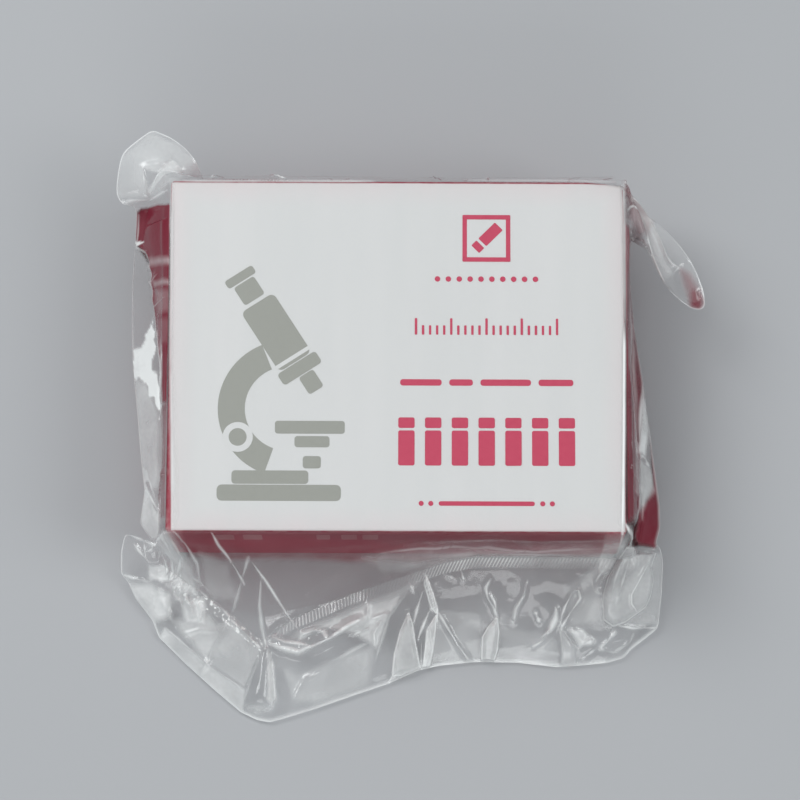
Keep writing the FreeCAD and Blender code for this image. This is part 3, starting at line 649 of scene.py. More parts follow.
def filmRings():
    # the bag's closed rings, from the top's middle over the edge and back under to the foot's middle
    stations = np.array(film["stations"] + film["stations"][:1], float)
    foot, hem = stations[:, 0:2], stations[:, 5:8]
    middleY, middleX = (hem[1:, 1] + hem[:-1, 1]) / 2, (hem[1:, 0] + hem[:-1, 0]) / 2
    # more columns where more is going on: the skirt, then the ears, then the sides
    care = film["care"]
    weight = np.where(middleY < -33, care["skirt"], np.where(middleY > 33.3, care["back"], care["sides"]))
    weight = np.where((np.abs(middleX) > 40) & (middleY > 10), care["ears"], weight)
    hemRun, footRun = (np.linalg.norm(np.diff(edge, axis=0), axis=1) for edge in (hem, foot))
    run = np.concatenate([[0], np.cumsum(weight * (hemRun + 0.6 * footRun))])
    cuts = np.linspace(0, run[-1], film["columns"], endpoint=False)
    dense = np.stack([np.interp(cuts, run, stations[:, k]) for k in range(9)], axis=1)
    dense[:, 2:] = softenRound(dense[:, 2:], 2)
    foot = np.column_stack([dense[:, 0:2], np.zeros(len(dense))])
    fold, hem, flap = dense[:, 2:5], dense[:, 5:8], dense[:, 8:9]
    top = foot + [0, 0, bagTop]
    reach = np.array([foot[:, 0].max(), foot[:, 1].max()]) - film["inset"]
    inward = np.clip(foot[:, :2], -reach, reach)
    capTop = np.column_stack([inward, top[:, 2]])
    capFoot = np.column_stack([inward, foot[:, 2]])
    gathered = np.column_stack([fold[:, :2], np.maximum(fold[:, 2] - film["gather"], film["gather"])])
    under = flap * gathered + (1 - flap) * (hem + 0.45 * (foot - hem))
    stretches = {"top": (capTop, top), "wall": (top, fold), "flap": (fold, hem), "under": (hem, under),
                 "tuck": (under, foot), "bottom": (foot, capFoot)}
    rings, kinds, parts = [], [], []
    for name, (start, end) in stretches.items():
        shares = film["shares"][name]
        shares = np.arange(shares) / shares if isinstance(shares, int) else shares
        for share in shares:
            rings.append(start + share * (end - start))
            kinds.append(name)
            parts.append(share)
    return np.array(rings), np.array(kinds), np.array(parts)[:, None], foot, fold, hem


def gridNormals(grid):
    around = np.roll(grid, -1, axis=1) - np.roll(grid, 1, axis=1)
    normal = np.cross(around, np.gradient(grid, axis=0))
    return normal / np.maximum(np.linalg.norm(normal, axis=2, keepdims=True), 1e-9)


def wrapRound(values):
    # repeats the first column after the last
    return np.concatenate([values, values[:, :1]], axis=1)


class CreaseLines:
    # what the material needs to draw thin lines sharper than the mesh: the way to the nearest line,
    # counted in line widths, and the line's whiteness; there are three sets, so that lines close
    # together don't disturb each other
    def __init__(self, count):
        self.offset = np.full((3, count, 2), 4.0)
        self.white = np.zeros((3, count))
        self.nearest = np.full((3, count), 1e9)

    def add(self, number, index, offset, width, white):
        kept = number % 3
        farthest = 5.0      # in line widths, past which a line doesn't show
        scaled = offset / width
        gap = np.linalg.norm(scaled, axis=1)
        nearer = gap < self.nearest[kept, index]
        chosen = index[nearer]
        self.nearest[kept, chosen] = gap[nearer]
        shorter = np.minimum(1, farthest / np.maximum(gap[nearer], 1e-6))
        self.offset[kept, chosen] = scaled[nearer] * shorter[:, None]
        self.white[kept, chosen] = np.where(gap < farthest, white, 0)[nearer]

    def vectors(self, kept):
        return np.column_stack([self.offset[kept], self.white[kept]])


def makeFilmMesh(name, grid, values, vectors):
    # a grid of the right size is rolled into a tube and its points get their values; then its seam is
    # joined and its two ends are closed
    rows, columns = grid.shape[:2]
    deselect()
    bpy.ops.mesh.primitive_grid_add(x_subdivisions=columns, y_subdivisions=rows - 1, size=1)
    piece = bpy.context.object
    piece.name = piece.data.name = name
    piece.data.vertices.foreach_set("co", (wrapRound(grid) * mm).ravel())
    piece.data.update()
    for kind, field, given in (("FLOAT", "value", values), ("FLOAT_VECTOR", "vector", vectors)):
        for key, numbers in given.items():
            attribute = piece.data.attributes.new(key, kind, "POINT")
            attribute.data.foreach_set(field, wrapRound(numbers).astype(np.float32).ravel())
    editMesh()
    bpy.ops.mesh.select_mode(type="VERT")
    bpy.ops.mesh.select_all(action="SELECT")
    bpy.ops.mesh.remove_doubles(threshold=1e-7)
    bpy.ops.mesh.select_all(action="DESELECT")
    bpy.ops.mesh.select_non_manifold(extend=False)
    bpy.ops.mesh.edge_face_add()
    bpy.ops.mesh.select_all(action="SELECT")
    bpy.ops.mesh.normals_make_consistent(inside=False)
    leaveEdit()
    bpy.ops.object.shade_smooth_by_angle(angle=math.radians(34))
    return piece


def drawFromAbove(places, index, lines):
    # what the creases, pleats, patches and the tube-like fold do at these places of the film: how far it
    # rises, how hazy it is with its painted highlights, and how much clearer
    rise, haze, clear = (np.zeros(len(places)) for _ in range(3))
    uneven = np.random.default_rng(film["unevenSeed"])
    for number, (line, halfWidth, height, white, lineWidth) in enumerate(film["creases"]):
        offset, gap, along = lineOffset(places, line)
        ends = np.clip(np.minimum(along, 1 - along) * 7 + 0.2, 0, 1)
        wave = (height != 0) * np.sin(uneven.uniform(4, 11) * along + uneven.uniform(0, 6))
        rise += height * np.clip(1 - gap / halfWidth, 0, 1) * ends
        width = lineWidth * (1.1 + 0.45 * wave)[:, None]
        lines.add(number, index, offset, width, white * (0.3 + 0.7 * ends) * (0.74 + 0.26 * wave))
    width, whiter = film["pleatLine"]
    for number, (corners, height, inner, white) in enumerate(film["pleats"]):
        offset, gap, _ = lineOffset(places, [*corners, corners[0]])
        inside = insideOutline(places, corners)
        rise += np.where(inside, height * np.clip(gap / 0.7, 0, 1) ** 0.5, 0)
        wave = 0.7 + 0.3 * np.sin(1.7 * places[:, 1] + number)
        # the hazy fill brightens towards the pleat's edge, partly a painted highlight
        rim = inner + 0.75 * (white - inner) * np.exp(-(gap / 0.55) ** 2) * wave
        haze = np.maximum(haze, np.where(inside, rim, 0))
        lines.add(number, index, offset, width, np.full(len(places), whiter * white))
    for corners, soft, amount in film["patches"]:
        inside = softInside(places, ragged(corners, 0.5 if amount >= 1 else 0.15, uneven), soft)
        if amount > 0:
            haze = np.maximum(haze, film["hazeAndHighlightGain"] * amount * inside)
        else:
            clear = np.maximum(clear, -amount * inside)
    tube = film["tube"]
    _, gap, along = lineOffset(places, tube["line"])
    narrow, wide = tube["half"]
    across = gap / (narrow + (wide - narrow) * along)
    rise += tube["height"] * (0.4 + 0.6 * along) * np.sqrt(np.clip(1 - across ** 2, 0, 1))
    return rise, haze, clear


def creaseWalls(lift, places, index, show, lines):
    # drawn-in creases down the walls; places are counted round the bag and down from its top
    given = film["wallCreases"]
    spread = np.random.default_rng(given["seed"])
    for number in range(given["count"]):
        start = np.array([spread.uniform(0, places[:, 0].max()), spread.uniform(*given["start"])])
        turn, length = math.radians(spread.normal(0, given["lean"])), spread.uniform(*given["length"])
        end = start + length * np.array([math.sin(turn), math.cos(turn)])
        height, halfWidth, white = (spread.uniform(*given[key]) for key in ("height", "halfWidth", "white"))
        offset, gap, along = lineOffset(places, [start, end])
        ends = np.clip(np.minimum(along, 1 - along) * 6, 0, 1)
        lift = lift + height * np.clip(1 - gap / halfWidth, 0, 1) * ends * (show > 0.05)
        # the crease's white line is partly the film's whitening and partly a painted highlight
        lines.add(number, index, offset, given["line"], white * show * ends)
    return lift


def makeFilmBag():
    grid, kinds, part, foot, fold, hem = filmRings()
    rows, columns = grid.shape[:2]
    full = np.ones((rows, columns))
    part = part * full
    isTop, isWall, isFlap, isUnder, isTuck, isBottom = ((kinds == kind)[:, None] for kind in film["shares"])
    around = np.concatenate([[0], np.cumsum(np.linalg.norm(np.diff(fold[:, :2], axis=0), axis=1))]) * full
    ringGaps = np.linalg.norm(np.diff(grid, axis=0), axis=2)
    down = np.vstack([np.zeros((1, columns)), np.cumsum(ringGaps, axis=0)])
    halfY = foot[:, 1].max()
    atFront = np.clip(-foot[:, 1] - halfY + 1, 0, 1)[None, :]
    atBack = np.clip(foot[:, 1] - halfY + 1, 0, 1)[None, :]
    flapLength = np.linalg.norm(hem - fold, axis=1)[None, :]

    def pointsOf(mask):
        return np.nonzero((mask & (full > 0)).reshape(-1))[0]

    # crumpling, in the sheet's own lengths: the walls are lifted along their normals, the flap is raised
    sheet = np.stack([around, down], axis=-1).reshape(-1, 2)
    coarse, medium, fine, drawn = (crumple(sheet * [1.0, shorter], spacing, seed).reshape(rows, columns)
                                   for spacing, seed, shorter in film["crumple"].values())
    calm, (standOff, height, spread) = film["calm"], film["shoulder"]
    middle = np.sin(np.pi * np.clip(part, 0, 1))
    fade = np.clip(np.minimum(part, 1 - part) * 8, 0, 1)
    lively = 1 - calm["left"] * np.clip((-grid[:, :, 0] - 22) / 4, 0, 1)
    lively = lively - calm["back"] * (foot[:, 1] > 20)[None, :]
    byCoarse, byDrawn, byMedium = film["wallLift"]
    lift = isWall * middle * (byCoarse * (coarse + 1) + byDrawn * (drawn + 1) + byMedium * (medium + 1))
    lift += isWall * standOff * np.exp(-((part - height) / spread) ** 2) * (0.7 + 0.5 * coarse)
    lift *= 1 - calm["ears"] * ((foot[:, 1] > 25) & (np.abs(foot[:, 0]) > 39.5))[None, :]
    underLift, tuckLift = film["tuckLift"]
    lift += isUnder * fade * underLift * (coarse + medium) + isTuck * fade * tuckLift * coarse
    byCoarse, byMedium, byFine = film["flapRise"]
    rise = isFlap * fade * lively * (byCoarse * (coarse + 1) + byMedium * (medium + 1) + byFine * (fine + 1))

    # what is drawn from above lies on the walls and the flap
    lines = CreaseLines(rows * columns)
    plan = grid[:, :, :2].reshape(-1, 2)
    upper = pointsOf(isWall | isFlap | isTop)
    raised, haze, clear = np.zeros((3, rows * columns))
    raised[upper], haze[upper], clear[upper] = drawFromAbove(plan[upper], upper, lines)
    raised, haze, clear = (values.reshape(rows, columns) for values in (raised, haze, clear))
    rise += (isWall | isFlap) * raised
    # most of the walls' creases are at the back
    wall = pointsOf(isWall)
    sheet = np.stack([around, down - down[np.argmax(kinds == "wall")]], axis=-1).reshape(-1, 2)
    usual, more, less = film["wallCreases"]["show"]
    show = ((usual + more * atBack - less * atFront) * full).reshape(-1)[wall]
    lift = lift.reshape(-1)
    lift[wall] = creaseWalls(lift[wall], sheet[wall], wall, show, lines)
    lift = lift.reshape(rows, columns)

    # ways the material sees the sealed band and the bag's outer edge
    seal = film["seal"]
    fromFold = part * flapLength
    wide = np.clip((flapLength - 6) / 4, 0, 1)
    wide = wide * np.clip((np.abs(foot[:, 1]) - halfY + 0.3) / 0.2, 0, 1)[None, :]
    bandShow = np.interp(fold[:, 0], *seal["show"])
    crushed = np.interp(fold[:, 0], *seal["crushed"]) * atFront[0]
    hemGap = np.where(isFlap, (1 - part) * flapLength, np.where(isUnder, -part * 6.0, 4.0))
    hemGap = np.where(isTop | isWall, 4.0, np.where(isTuck | isBottom, -4.0, hemGap))

    # hazy film and painted highlights share this one value
    haze = haze * (0.85 + 0.22 * medium) + 0.018 * (1 + medium) * (isFlap | isWall) * (1 - 0.6 * isWall)
    haze += 0.012 * isUnder
    haze += 0.1 * isFlap * atFront * np.clip(coarse, 0, 1)
    mirrored = np.zeros(rows * columns)
    for corners, soft, strength in film["mirrored"]:
        mirrored = np.maximum(mirrored, strength * softInside(plan, corners, soft))
    mirrored = mirrored.reshape(rows, columns) * (isWall + (isUnder + isTuck + isFlap * 0.85) * (1 - atFront))

    grid = grid + gridNormals(grid) * lift[:, :, None]
    grid[:, :, 2] += rise
    lowest = np.where(isFlap, film["lowest"]["flap"], np.where(isUnder, film["lowest"]["under"], 0.0)) * full
    grid[:, :, 2] = np.clip(np.maximum(grid[:, :, 2], lowest), 0.0, bagTop)
    values = {
        "haze": np.clip(haze * (1 - clear), 0, 1),
        "mirrored": mirrored,
        "hemGap": np.clip(hemGap, -4, 4) * full,
        "ribWay": around + np.interp(fold[:, 0], *seal["lean"]) * fromFold,
        "fromFold": fromFold,
        "sealShow": isFlap * wide * bandShow[None, :],
        "crushed": isFlap * wide * crushed[None, :],
    }
    vectors = {"creases%d" % kept: lines.vectors(kept).reshape(rows, columns, 3) for kept in range(3)}
    return makeFilmMesh("film_bag_sealed", grid, values, vectors)


film["look"] = {
    # the first colour is the white of hazy film and of painted highlights
    "hazeAndHighlightColour": (0.88, 0.905, 0.90),
    "mirroredRed": (0.19, 0.008, 0.026),
    "shine": (0.96, 0.98, 0.975),
    "gloss": (0.048, 0.13),    # seen face on, and how much more edge on
    "specular": 0.12,          # low, because the shine is in the metallic share
    "rough": (0.3, 0.09),      # how much more where hazy and painted white, and where clear
    "edgeWidth": 0.2,
    "bump": (0.35, 0.2),       # strength, and depth in millimetres
}


def makeFilmMaterial():
    look, seal = film["look"], film["seal"]
    material, tree, shader = newMaterial("clearFilm")

    def read(name, output="Fac"):
        return outputOf(tree, output, "ShaderNodeAttribute", attribute_name=name)

    def larger(first, second):
        return calc(tree, "MAXIMUM", first, second)

    def bell(square):
        return calc(tree, "EXPONENT", square * -1.0)

    place = objectPlace(tree)
    cloud = noiseOf(place, 140.0, 1.0, 0.6)
    grain = noiseOf(place, 1400.0, 0.0)
    # thin white lines where the film is creased, partly its own whitening and partly painted highlights on
    # the ridges
    lines = 0.0
    for kept in range(3):
        x, y, white = splitUp(read("creases%d" % kept, "Vector"))
        lines = larger(lines, bell(x * x + y * y) * white)
    lines = lines * cloud.scaled(1.4, 0.3).clamped()
    # the welded edge of the bag, drawn as a white line: partly the film's own whitening, partly a painted
    # highlight where the edge catches the light
    edge = read("hemGap") * (1 / look["edgeWidth"])
    edge = bell(edge * edge) * cloud.scaled(0.8, 0.35)
    # ribs pressed into the sealed band, drawn white partly as painted highlights; at its left end the ribs
    # are squashed, and painted glint dots stand in for them
    fromFold, show, crushed = read("fromFold"), read("sealShow"), read("crushed")
    inBand = fromFold.scaled(4.0, -4.0 * seal["start"]).clamped()
    inBand = inBand * fromFold.scaled(-4.0, 4.0 * seal["width"]).clamped()
    rib = calc(tree, "SINE", read("ribWay") * (2 * math.pi / seal["pitch"])).scaled(0.5, 0.5) ** 2.0
    rib = rib * (show * cloud.scaled(2.4, -0.5).clamped())
    glintSpecks = noiseOf(place, 1500.0, 0.0).scaled(7.0, -3.9).clamped()
    rib = larger(rib * (1.0 - crushed), glintSpecks * crushed) * inBand
    # hazy places, with painted highlights
    milkAndHighlight = read("haze") * cloud.scaled(0.9, 0.55) * grain.scaled(0.16, 0.92)
    white = milkAndHighlight + (inBand * (show * 0.10) + rib * 0.85)
    white = larger(white, larger(lines, edge * 0.8)).clamped()
    # white creases lie over the mirrored red
    mirrored = (read("mirrored") * cloud.scaled(0.9, 0.68)).clamped()
    behind = mirrored * (1.0 - white)
    body = (white + behind).clamped()
    redShare = (behind / (body + 0.001)).clamped()
    # clear film only mirrors a little, more where it is seen edge on
    faceOn, edgeOn = look["gloss"]
    facing = outputOf(tree, "Facing", "ShaderNodeLayerWeight", {0: 0.5})
    gloss = (facing ** 4.0).scaled(edgeOn, faceOn).clamped() * mirrored.scaled(-0.8, 1.0)
    metal = (gloss / (gloss + body + 0.001)).clamped()
    colour = mixColour(tree, redShare, look["hazeAndHighlightColour"], look["mirroredRed"])
    plug(shader.inputs["Base Color"], mixColour(tree, metal, colour, look["shine"]))
    plug(shader.inputs["Metallic"], metal)
    plug(shader.inputs["Roughness"], milkAndHighlight.scaled(*look["rough"]))
    plug(shader.inputs["Specular IOR Level"], look["specular"])
    plug(shader.inputs["Alpha"], (gloss + body).clamped())
    addBump(shader, *look["bump"], rib * 0.6 + grain * 0.12 + lines)
    return material


filmPiece = makeFilmBag()
setMaterial(filmPiece, makeFilmMaterial())
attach(filmPiece, "root")
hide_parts("film_bag")
print("film bag made,", len(filmPiece.data.polygons), "faces")


# The lid: one sheet of printed card folded into a box, with glued flaps inside its end walls.
lid = {
    "card": 0.5,
    "round": 0.75,                          # outside radius of the folds
    "cuts": 23,
    "dent": ((40.8, 32.0), 7.5, (-0.21, -0.72, -0.42)),      # corner in plan, reach and push
    "bow": 0.22,                            # how far the long walls bow in
    "flap": (16.0, 23.0),                   # glue flaps, length and height
    "whiteLeft": (-40.62, -39.75),          # the white field's left edge, at the back and at the front
    "whiteRight": 40.5,
    "whiteBack": 31.55,
    "whiteFront": -31.72,
    "whiteDown": 1.2,                       # how far below the top white may show
    "flecksFrom": 5.0,                        # pale flecks on the folds start this far above the open rim
    "inkBase": 0.008,                       # how high above the card printed shapes start
    "inkThick": 0.02,
    "inkStep": 0.004,                       # each later shape lies this much higher
    "paper": ((0.635, 0.650, 0.645), (0.690, 0.695, 0.692)),
    "warmCast": (0.72, 0.55, 0.57),
    "red": ((0.285, 0.016, 0.038), (0.37, 0.03, 0.062)),
    "fleckColour": (0.72, 0.66, 0.63),
    "board": ((0.46, 0.44, 0.39), (0.66, 0.64, 0.58)),
    "inks": {
        "inkGrey": ((0.300, 0.309, 0.277), (0.324, 0.333, 0.300)),
        "inkRed": ((0.50, 0.030, 0.085), (0.57, 0.044, 0.108)),
        "inkWhite": ((0.640, 0.650, 0.645), (0.680, 0.688, 0.684)),
        "inkPale": ((0.44, 0.25, 0.25), (0.54, 0.36, 0.35)),
    },
}


def circlePoints(centre, radius, start, stop, steps):
    angles = [math.radians(start + (stop - start) * step / steps) for step in range(steps + 1)]
    return [(centre[0] + radius * math.cos(angle), centre[1] + radius * math.sin(angle)) for angle in angles]


def bar(centre, size, radius, turn=0.0):
    # outline of a bar turned clockwise by so many degrees, with four steps round each corner
    radius = min(radius, size[0] / 2, size[1] / 2)
    points = []
    for quarter, (signX, signY) in enumerate(((1, 1), (-1, 1), (-1, -1), (1, -1))):
        corner = (signX * (size[0] / 2 - radius), signY * (size[1] / 2 - radius))
        points += circlePoints(corner, radius, 90 * quarter, 90 * (quarter + 1), 4)
    c, s = math.cos(math.radians(-turn)), math.sin(math.radians(-turn))
    return [(centre[0] + x * c - y * s, centre[1] + x * s + y * c) for x, y in points]


def arc(centre, inner, outer, start, stop, steps):
    # outline of part of a ring, from start to stop in degrees
    outside, inside = (circlePoints(centre, radius, start, stop, steps) for radius in (outer, inner))
    return outside + inside[::-1]


def disc(centre, radius, steps=28):
    return circlePoints(centre, radius, 0, 360, steps)[:-1]


def bowAt(x, z):
    # how far a long wall lies inwards here
    half = (lidHigh[2] + lidLow[2]) / 2
    return lid["bow"] * max(0.0, 1 - abs(z - half) / (half - lidLow[2])) * max(0.0, 1 - (x / 38) ** 2)


# where a place on a printed panel lies: along the panel, up the panel, and out from it
panels = {
    "top": lambda x, y, out: Vector((x, y, lidHigh[2] + out)) * mm,
    "front": lambda x, y, out: Vector((x, lidLow[1] + bowAt(x, y) - out, y)) * mm,
    "back": lambda x, y, out: Vector((-x, lidHigh[1] - bowAt(x, y) + out, y)) * mm,
    "left": lambda x, y, out: Vector((lidLow[0] - out, -x, y)) * mm,
    "right": lambda x, y, out: Vector((lidHigh[0] + out, x, y)) * mm,
}


def printShape(outline, ink, panel, level):
    # a filled circle is drawn out to the outline and given its thickness
    place = panels[panel]
    deselect()
    bpy.ops.mesh.primitive_circle_add(vertices=len(outline), fill_type="NGON", radius=1)
    piece = bpy.context.object
    for vertex, (x, y) in zip(piece.data.vertices, outline):
        vertex.co = place(x, y, lid["inkBase"])
    thick = (place(0, 0, 1) - place(0, 0, 0)) * (lid["inkThick"] + lid["inkStep"] * level)
    editMesh()
    bpy.ops.mesh.extrude_region_move(TRANSFORM_OT_translate={"value": tuple(thick)})
    bpy.ops.mesh.select_all(action="SELECT")
    bpy.ops.mesh.normals_make_consistent(inside=False)
    leaveEdit()
    setMaterial(piece, ink)
    return piece


def makeLidCard():
    piece = addBox((lidLow + lidHigh) / 2 * mm, (lidHigh - lidLow) * mm)
    mesh = piece.data
    selectParts(mesh, "FACE", lambda face: face.normal.z < -0.5)
    bpy.ops.mesh.delete(type="FACE")
    bpy.ops.mesh.select_mode(type="EDGE")
    bpy.ops.mesh.select_all(action="SELECT")
    bpy.ops.mesh.subdivide(number_cuts=lid["cuts"])
    leaveEdit()
    # every fold is rounded: its edges lie on two of the lid's five sides
    sides = [(0, lidLow[0]), (0, lidHigh[0]), (1, lidLow[1]), (1, lidHigh[1]), (2, lidHigh[2])]

    def isFold(edge):
        ends = [mesh.vertices[v].co / mm for v in edge.vertices]
        return sum(all(abs(end[axis] - side) < 0.01 for end in ends) for axis, side in sides) == 2

    selectParts(mesh, "EDGE", isFold)
    bpy.ops.mesh.bevel(offset=lid["round"] * mm, segments=4, profile=0.5)
    leaveEdit()
    # one corner is dented and the long walls bow in
    corner, reach, push = lid["dent"]
    for vertex in mesh.vertices:
        x, y, z = vertex.co / mm
        away = math.hypot(x - corner[0], y - corner[1]) / reach
        if away < 1:
            vertex.co += Vector(push) * mm * (1 - away) ** 1.6 * max(0.0, (z - 12) / (lidHigh[2] - 12))
        if abs(y) > lidHigh[1] - 1:
            vertex.co.y -= math.copysign(bowAt(x, z) * mm, y)
    setMaterial(piece, makePrintedCard(), makeBareBoard())
    bpy.ops.object.modifier_add(type="SOLIDIFY")
    solidify = piece.modifiers[-1]
    solidify.thickness = lid["card"] * mm
    solidify.offset = -1
    solidify.use_even_offset = True
    solidify.material_offset = solidify.material_offset_rim = 1
    bpy.ops.object.modifier_apply(modifier=solidify.name)
    bpy.ops.object.shade_smooth_by_angle(angle=math.radians(40))
    return piece


def makeGlueFlap(signX, signY, board):
    length, height = lid["flap"]
    card = lid["card"]
    place = Vector((signX * (lidHigh[0] - 1.5 * card - 0.01), signY * (lidHigh[1] - card - length / 2 - 0.05),
                    lidHigh[2] - card - 0.4 - height / 2)) * mm
    piece = addBox(place, (0.94 * card * mm, length * mm, height * mm))
    editMesh()
    bpy.ops.mesh.bevel(offset=0.1 * mm, segments=1)
    leaveEdit()
    for vertex in piece.data.vertices:      # the free end tapers
        if signY * (vertex.co.y - place.y) < 0:
            vertex.co.z = place.z + 0.84 * (vertex.co.z - place.z)
    setMaterial(piece, board)
    return piece


def makePrintedCard():
    material, tree, shader = newMaterial("printedCard")
    place = objectPlace(tree)
    x, y, z = splitUp(place)
    # the white field's left edge leans, because the print sits a little askew on the folds
    leftBack, leftFront = lid["whiteLeft"]
    lean = (leftBack - leftFront) / (lid["whiteBack"] - lid["whiteFront"])
    leftEdge = y.scaled(lean, (leftBack - lean * lid["whiteBack"]) * mm)
    gaps = [x - leftEdge, lid["whiteRight"] * mm - x, lid["whiteBack"] * mm - y, y - lid["whiteFront"] * mm]
    nearest = calc(tree, "MINIMUM", calc(tree, "MINIMUM", *gaps[:2]), calc(tree, "MINIMUM", *gaps[2:]))
    nearest = nearest + noiseOf(place, 320.0).scaled(0.14 * mm, -0.07 * mm)
    onTop = calc(tree, "GREATER_THAN", z, (lidHigh[2] - lid["whiteDown"]) * mm)
    white = nearest.scaled(1 / (0.16 * mm), 0.5).clamped() * onTop
    # the pale print has long soft streaks from the press and a faint warm cast near its edges
    stretched = outputOf(tree, 0, "ShaderNodeMapping", {"Vector": place, "Scale": (3.0, 0.35, 1.0)})
    streak = noiseOf(stretched, 60.0, 2.0)
    cast = 1.0 - (nearest * (1 / (4.5 * mm))).clamped()
    paper = mixColour(tree, cast * (streak * 0.5), mixColour(tree, streak, *lid["paper"]), lid["warmCast"])
    # paler pinkish flecks along the outer edges of the upper folds
    paleFlecks = outputOf(tree, "Pointiness", "ShaderNodeNewGeometry").scaled(14.0, -14.0 * 0.515).clamped()
    paleFlecks = paleFlecks * noiseOf(place, 700.0, 6.0).scaled(6.0, -2.5).clamped()
    paleFlecks = paleFlecks * z.scaled(0.2 / mm, -0.2 * (lidLow[2] + lid["flecksFrom"])).clamped()
    mottle = noiseOf(place, 1500.0, 5.0)
    colour = mixColour(tree, white, mixColour(tree, mottle, *lid["red"]), paper)
    plug(shader.inputs["Base Color"], mixColour(tree, paleFlecks * 0.6, colour, lid["fleckColour"]))
    plug(shader.inputs["Roughness"], paleFlecks.scaled(0.3, mottle.scaled(0.25, 0.34)))
    plug(shader.inputs["Specular IOR Level"], 0.3)
    addBump(shader, 0.12, 0.2, streak.scaled(2.0, mottle))
    return material


def makeBareBoard():
    # the unprinted side and the cut edges
    material, tree, shader = newMaterial("bareBoard")
    fibre = noiseOf(objectPlace(tree), 900.0, 8.0, 0.65)
    plug(shader.inputs["Base Color"], mixColour(tree, fibre, *lid["board"]))
    plug(shader.inputs["Roughness"], 0.85)
    addBump(shader, 0.3, 0.1, fibre)
    return material


def makeInk(name):
    material, tree, shader = newMaterial(name)
    speckle = noiseOf(objectPlace(tree), 1100.0, 4.0)
    plug(shader.inputs["Base Color"], mixColour(tree, speckle, *lid["inks"][name]))
    plug(shader.inputs["Roughness"], speckle.scaled(0.3, 0.3))
    return material


# a plain sign for a microscope, built of bars, arcs and discs
microscope = {"middle": (-21.0, -5.6), "lean": -33.0, "joint": (1.4, 6.6)}


def onTube(along, across):
    # a place on the leaning tube's own axes
    s, c = math.sin(math.radians(microscope["lean"])), math.cos(math.radians(microscope["lean"]))
    x, y = (microscope["middle"][k] + microscope["joint"][k] for k in (0, 1))
    return x + s * along + c * across, y + c * along - s * across


def microscopeShapes():
    x, y = microscope["middle"]
    lean = microscope["lean"]
    knob = (x - 7.2, y - 9.4)
    grey = [
        bar((x + 0.2, y - 19.4), (22.0, 2.9), 0.9),                    # foot
        bar((x - 1.4, y - 16.6), (13.6, 2.4), 0.6),                    # step
        arc((x + 1.6, y - 4.2), 7.6, 12.4, 112, 251, 44),              # arm
        bar((x + 5.6, y - 7.6), (12.4, 2.3), 0.5),                     # stage
        bar((x + 6.0, y - 10.2), (6.2, 2.0), 0.5),                     # condenser
        bar((x + 6.0, y - 13.9), (3.2, 2.2), 0.5),                     # lamp
        bar(onTube(3.6, 0), (6.8, 12.8), 1.0, lean),                   # tube
        bar(onTube(12.6, 0), (4.2, 3.8), 0.5, lean),                   # eyepiece
        bar(onTube(15.6, 0), (5.8, 1.6), 0.5, lean),                   # its rim
        bar(onTube(-4.2, 0), (8.0, 2.4), 0.6, lean),                   # nosepiece
        bar(onTube(-7.4, 0.4), (3.0, 3.6), 0.5, lean),                 # objective
    ]
    gap = bar(onTube(-1.9, 0), (7.2, 0.7), 0.3, lean)
    return [(outline, "inkGrey") for outline in grey] + [
        (gap, "inkWhite"), (disc(knob, 2.7), "inkWhite"), (disc(knob, 1.6), "inkGrey")]


# rows of plain signs to the right of it: a framed slide, dots, a scale, dashes, a rack of slides and a line
signs = {
    "middle": 16.0,
    "frame": {"y": 21.4, "side": 8.6, "line": 0.8, "slide": 2.0, "glass": (0.75, 4.2), "label": (-1.55, 1.3)},
    "dots": {"y": 13.9, "count": 10, "pitch": 1.95, "radius": 0.5},
    "scale": {"y": 3.7, "count": 21, "pitch": 1.26, "width": 0.42, "short": 1.7, "long": 3.0},
    "dashes": {"x": 0.6, "y": -5.0, "widths": (7.4, 4.2, 9.0, 6.2), "height": 1.15, "gap": 1.35},
    "rack": {"count": 7, "pitch": 4.75, "width": 2.9, "glass": (-16.85, 6.3), "label": (-12.3, 1.9)},
    "line": {"y": -26.8, "size": (17.0, 0.8), "round": 0.39, "dots": (9.9, 1.7, 0.45)},
}


def rowPlaces(given):
    # where the signs of one row stand, even about the middle
    return [signs["middle"] + (k - (given["count"] - 1) / 2) * given["pitch"] for k in range(given["count"])]


def signShapes():
    middle = signs["middle"]
    given = signs["frame"]
    side, line, y = given["side"], given["line"], given["y"]
    red = [bar((middle, y + sign * (side - line) / 2), (side, line), 0.2) for sign in (-1, 1)]
    red += [bar((middle + sign * (side - line) / 2, y), (line, side - line), 0.2) for sign in (-1, 1)]
    for out, length in (given["glass"], given["label"]):
        red.append(bar((middle + out, y + out), (length, given["slide"]), 0.2, -45))
    given = signs["dots"]
    red += [disc((x, given["y"]), given["radius"], 16) for x in rowPlaces(given)]
    given = signs["scale"]
    for k, x in enumerate(rowPlaces(given)):
        tall = given["short"] if k % 5 else given["long"]
        red.append(bar((x, given["y"] + tall / 2), (given["width"], tall), 0.1))
    given = signs["dashes"]
    start = given["x"]
    for width in given["widths"]:
        red.append(bar((start + width / 2, given["y"]), (width, given["height"]), 0.5))
        start += width + given["gap"]
    given = signs["rack"]
    for x in rowPlaces(given):
        red += [bar((x, y), (given["width"], height), 0.35) for y, height in (given["glass"], given["label"])]
    given = signs["line"]
    first, pitch, radius = given["dots"]
    red.append(bar((middle, given["y"]), given["size"], given["round"]))
    red += [disc((middle + sign * (first + pitch * k), given["y"]), radius, 16)
            for sign in (-1, 1) for k in range(2)]
    return [(outline, "inkRed") for outline in red]


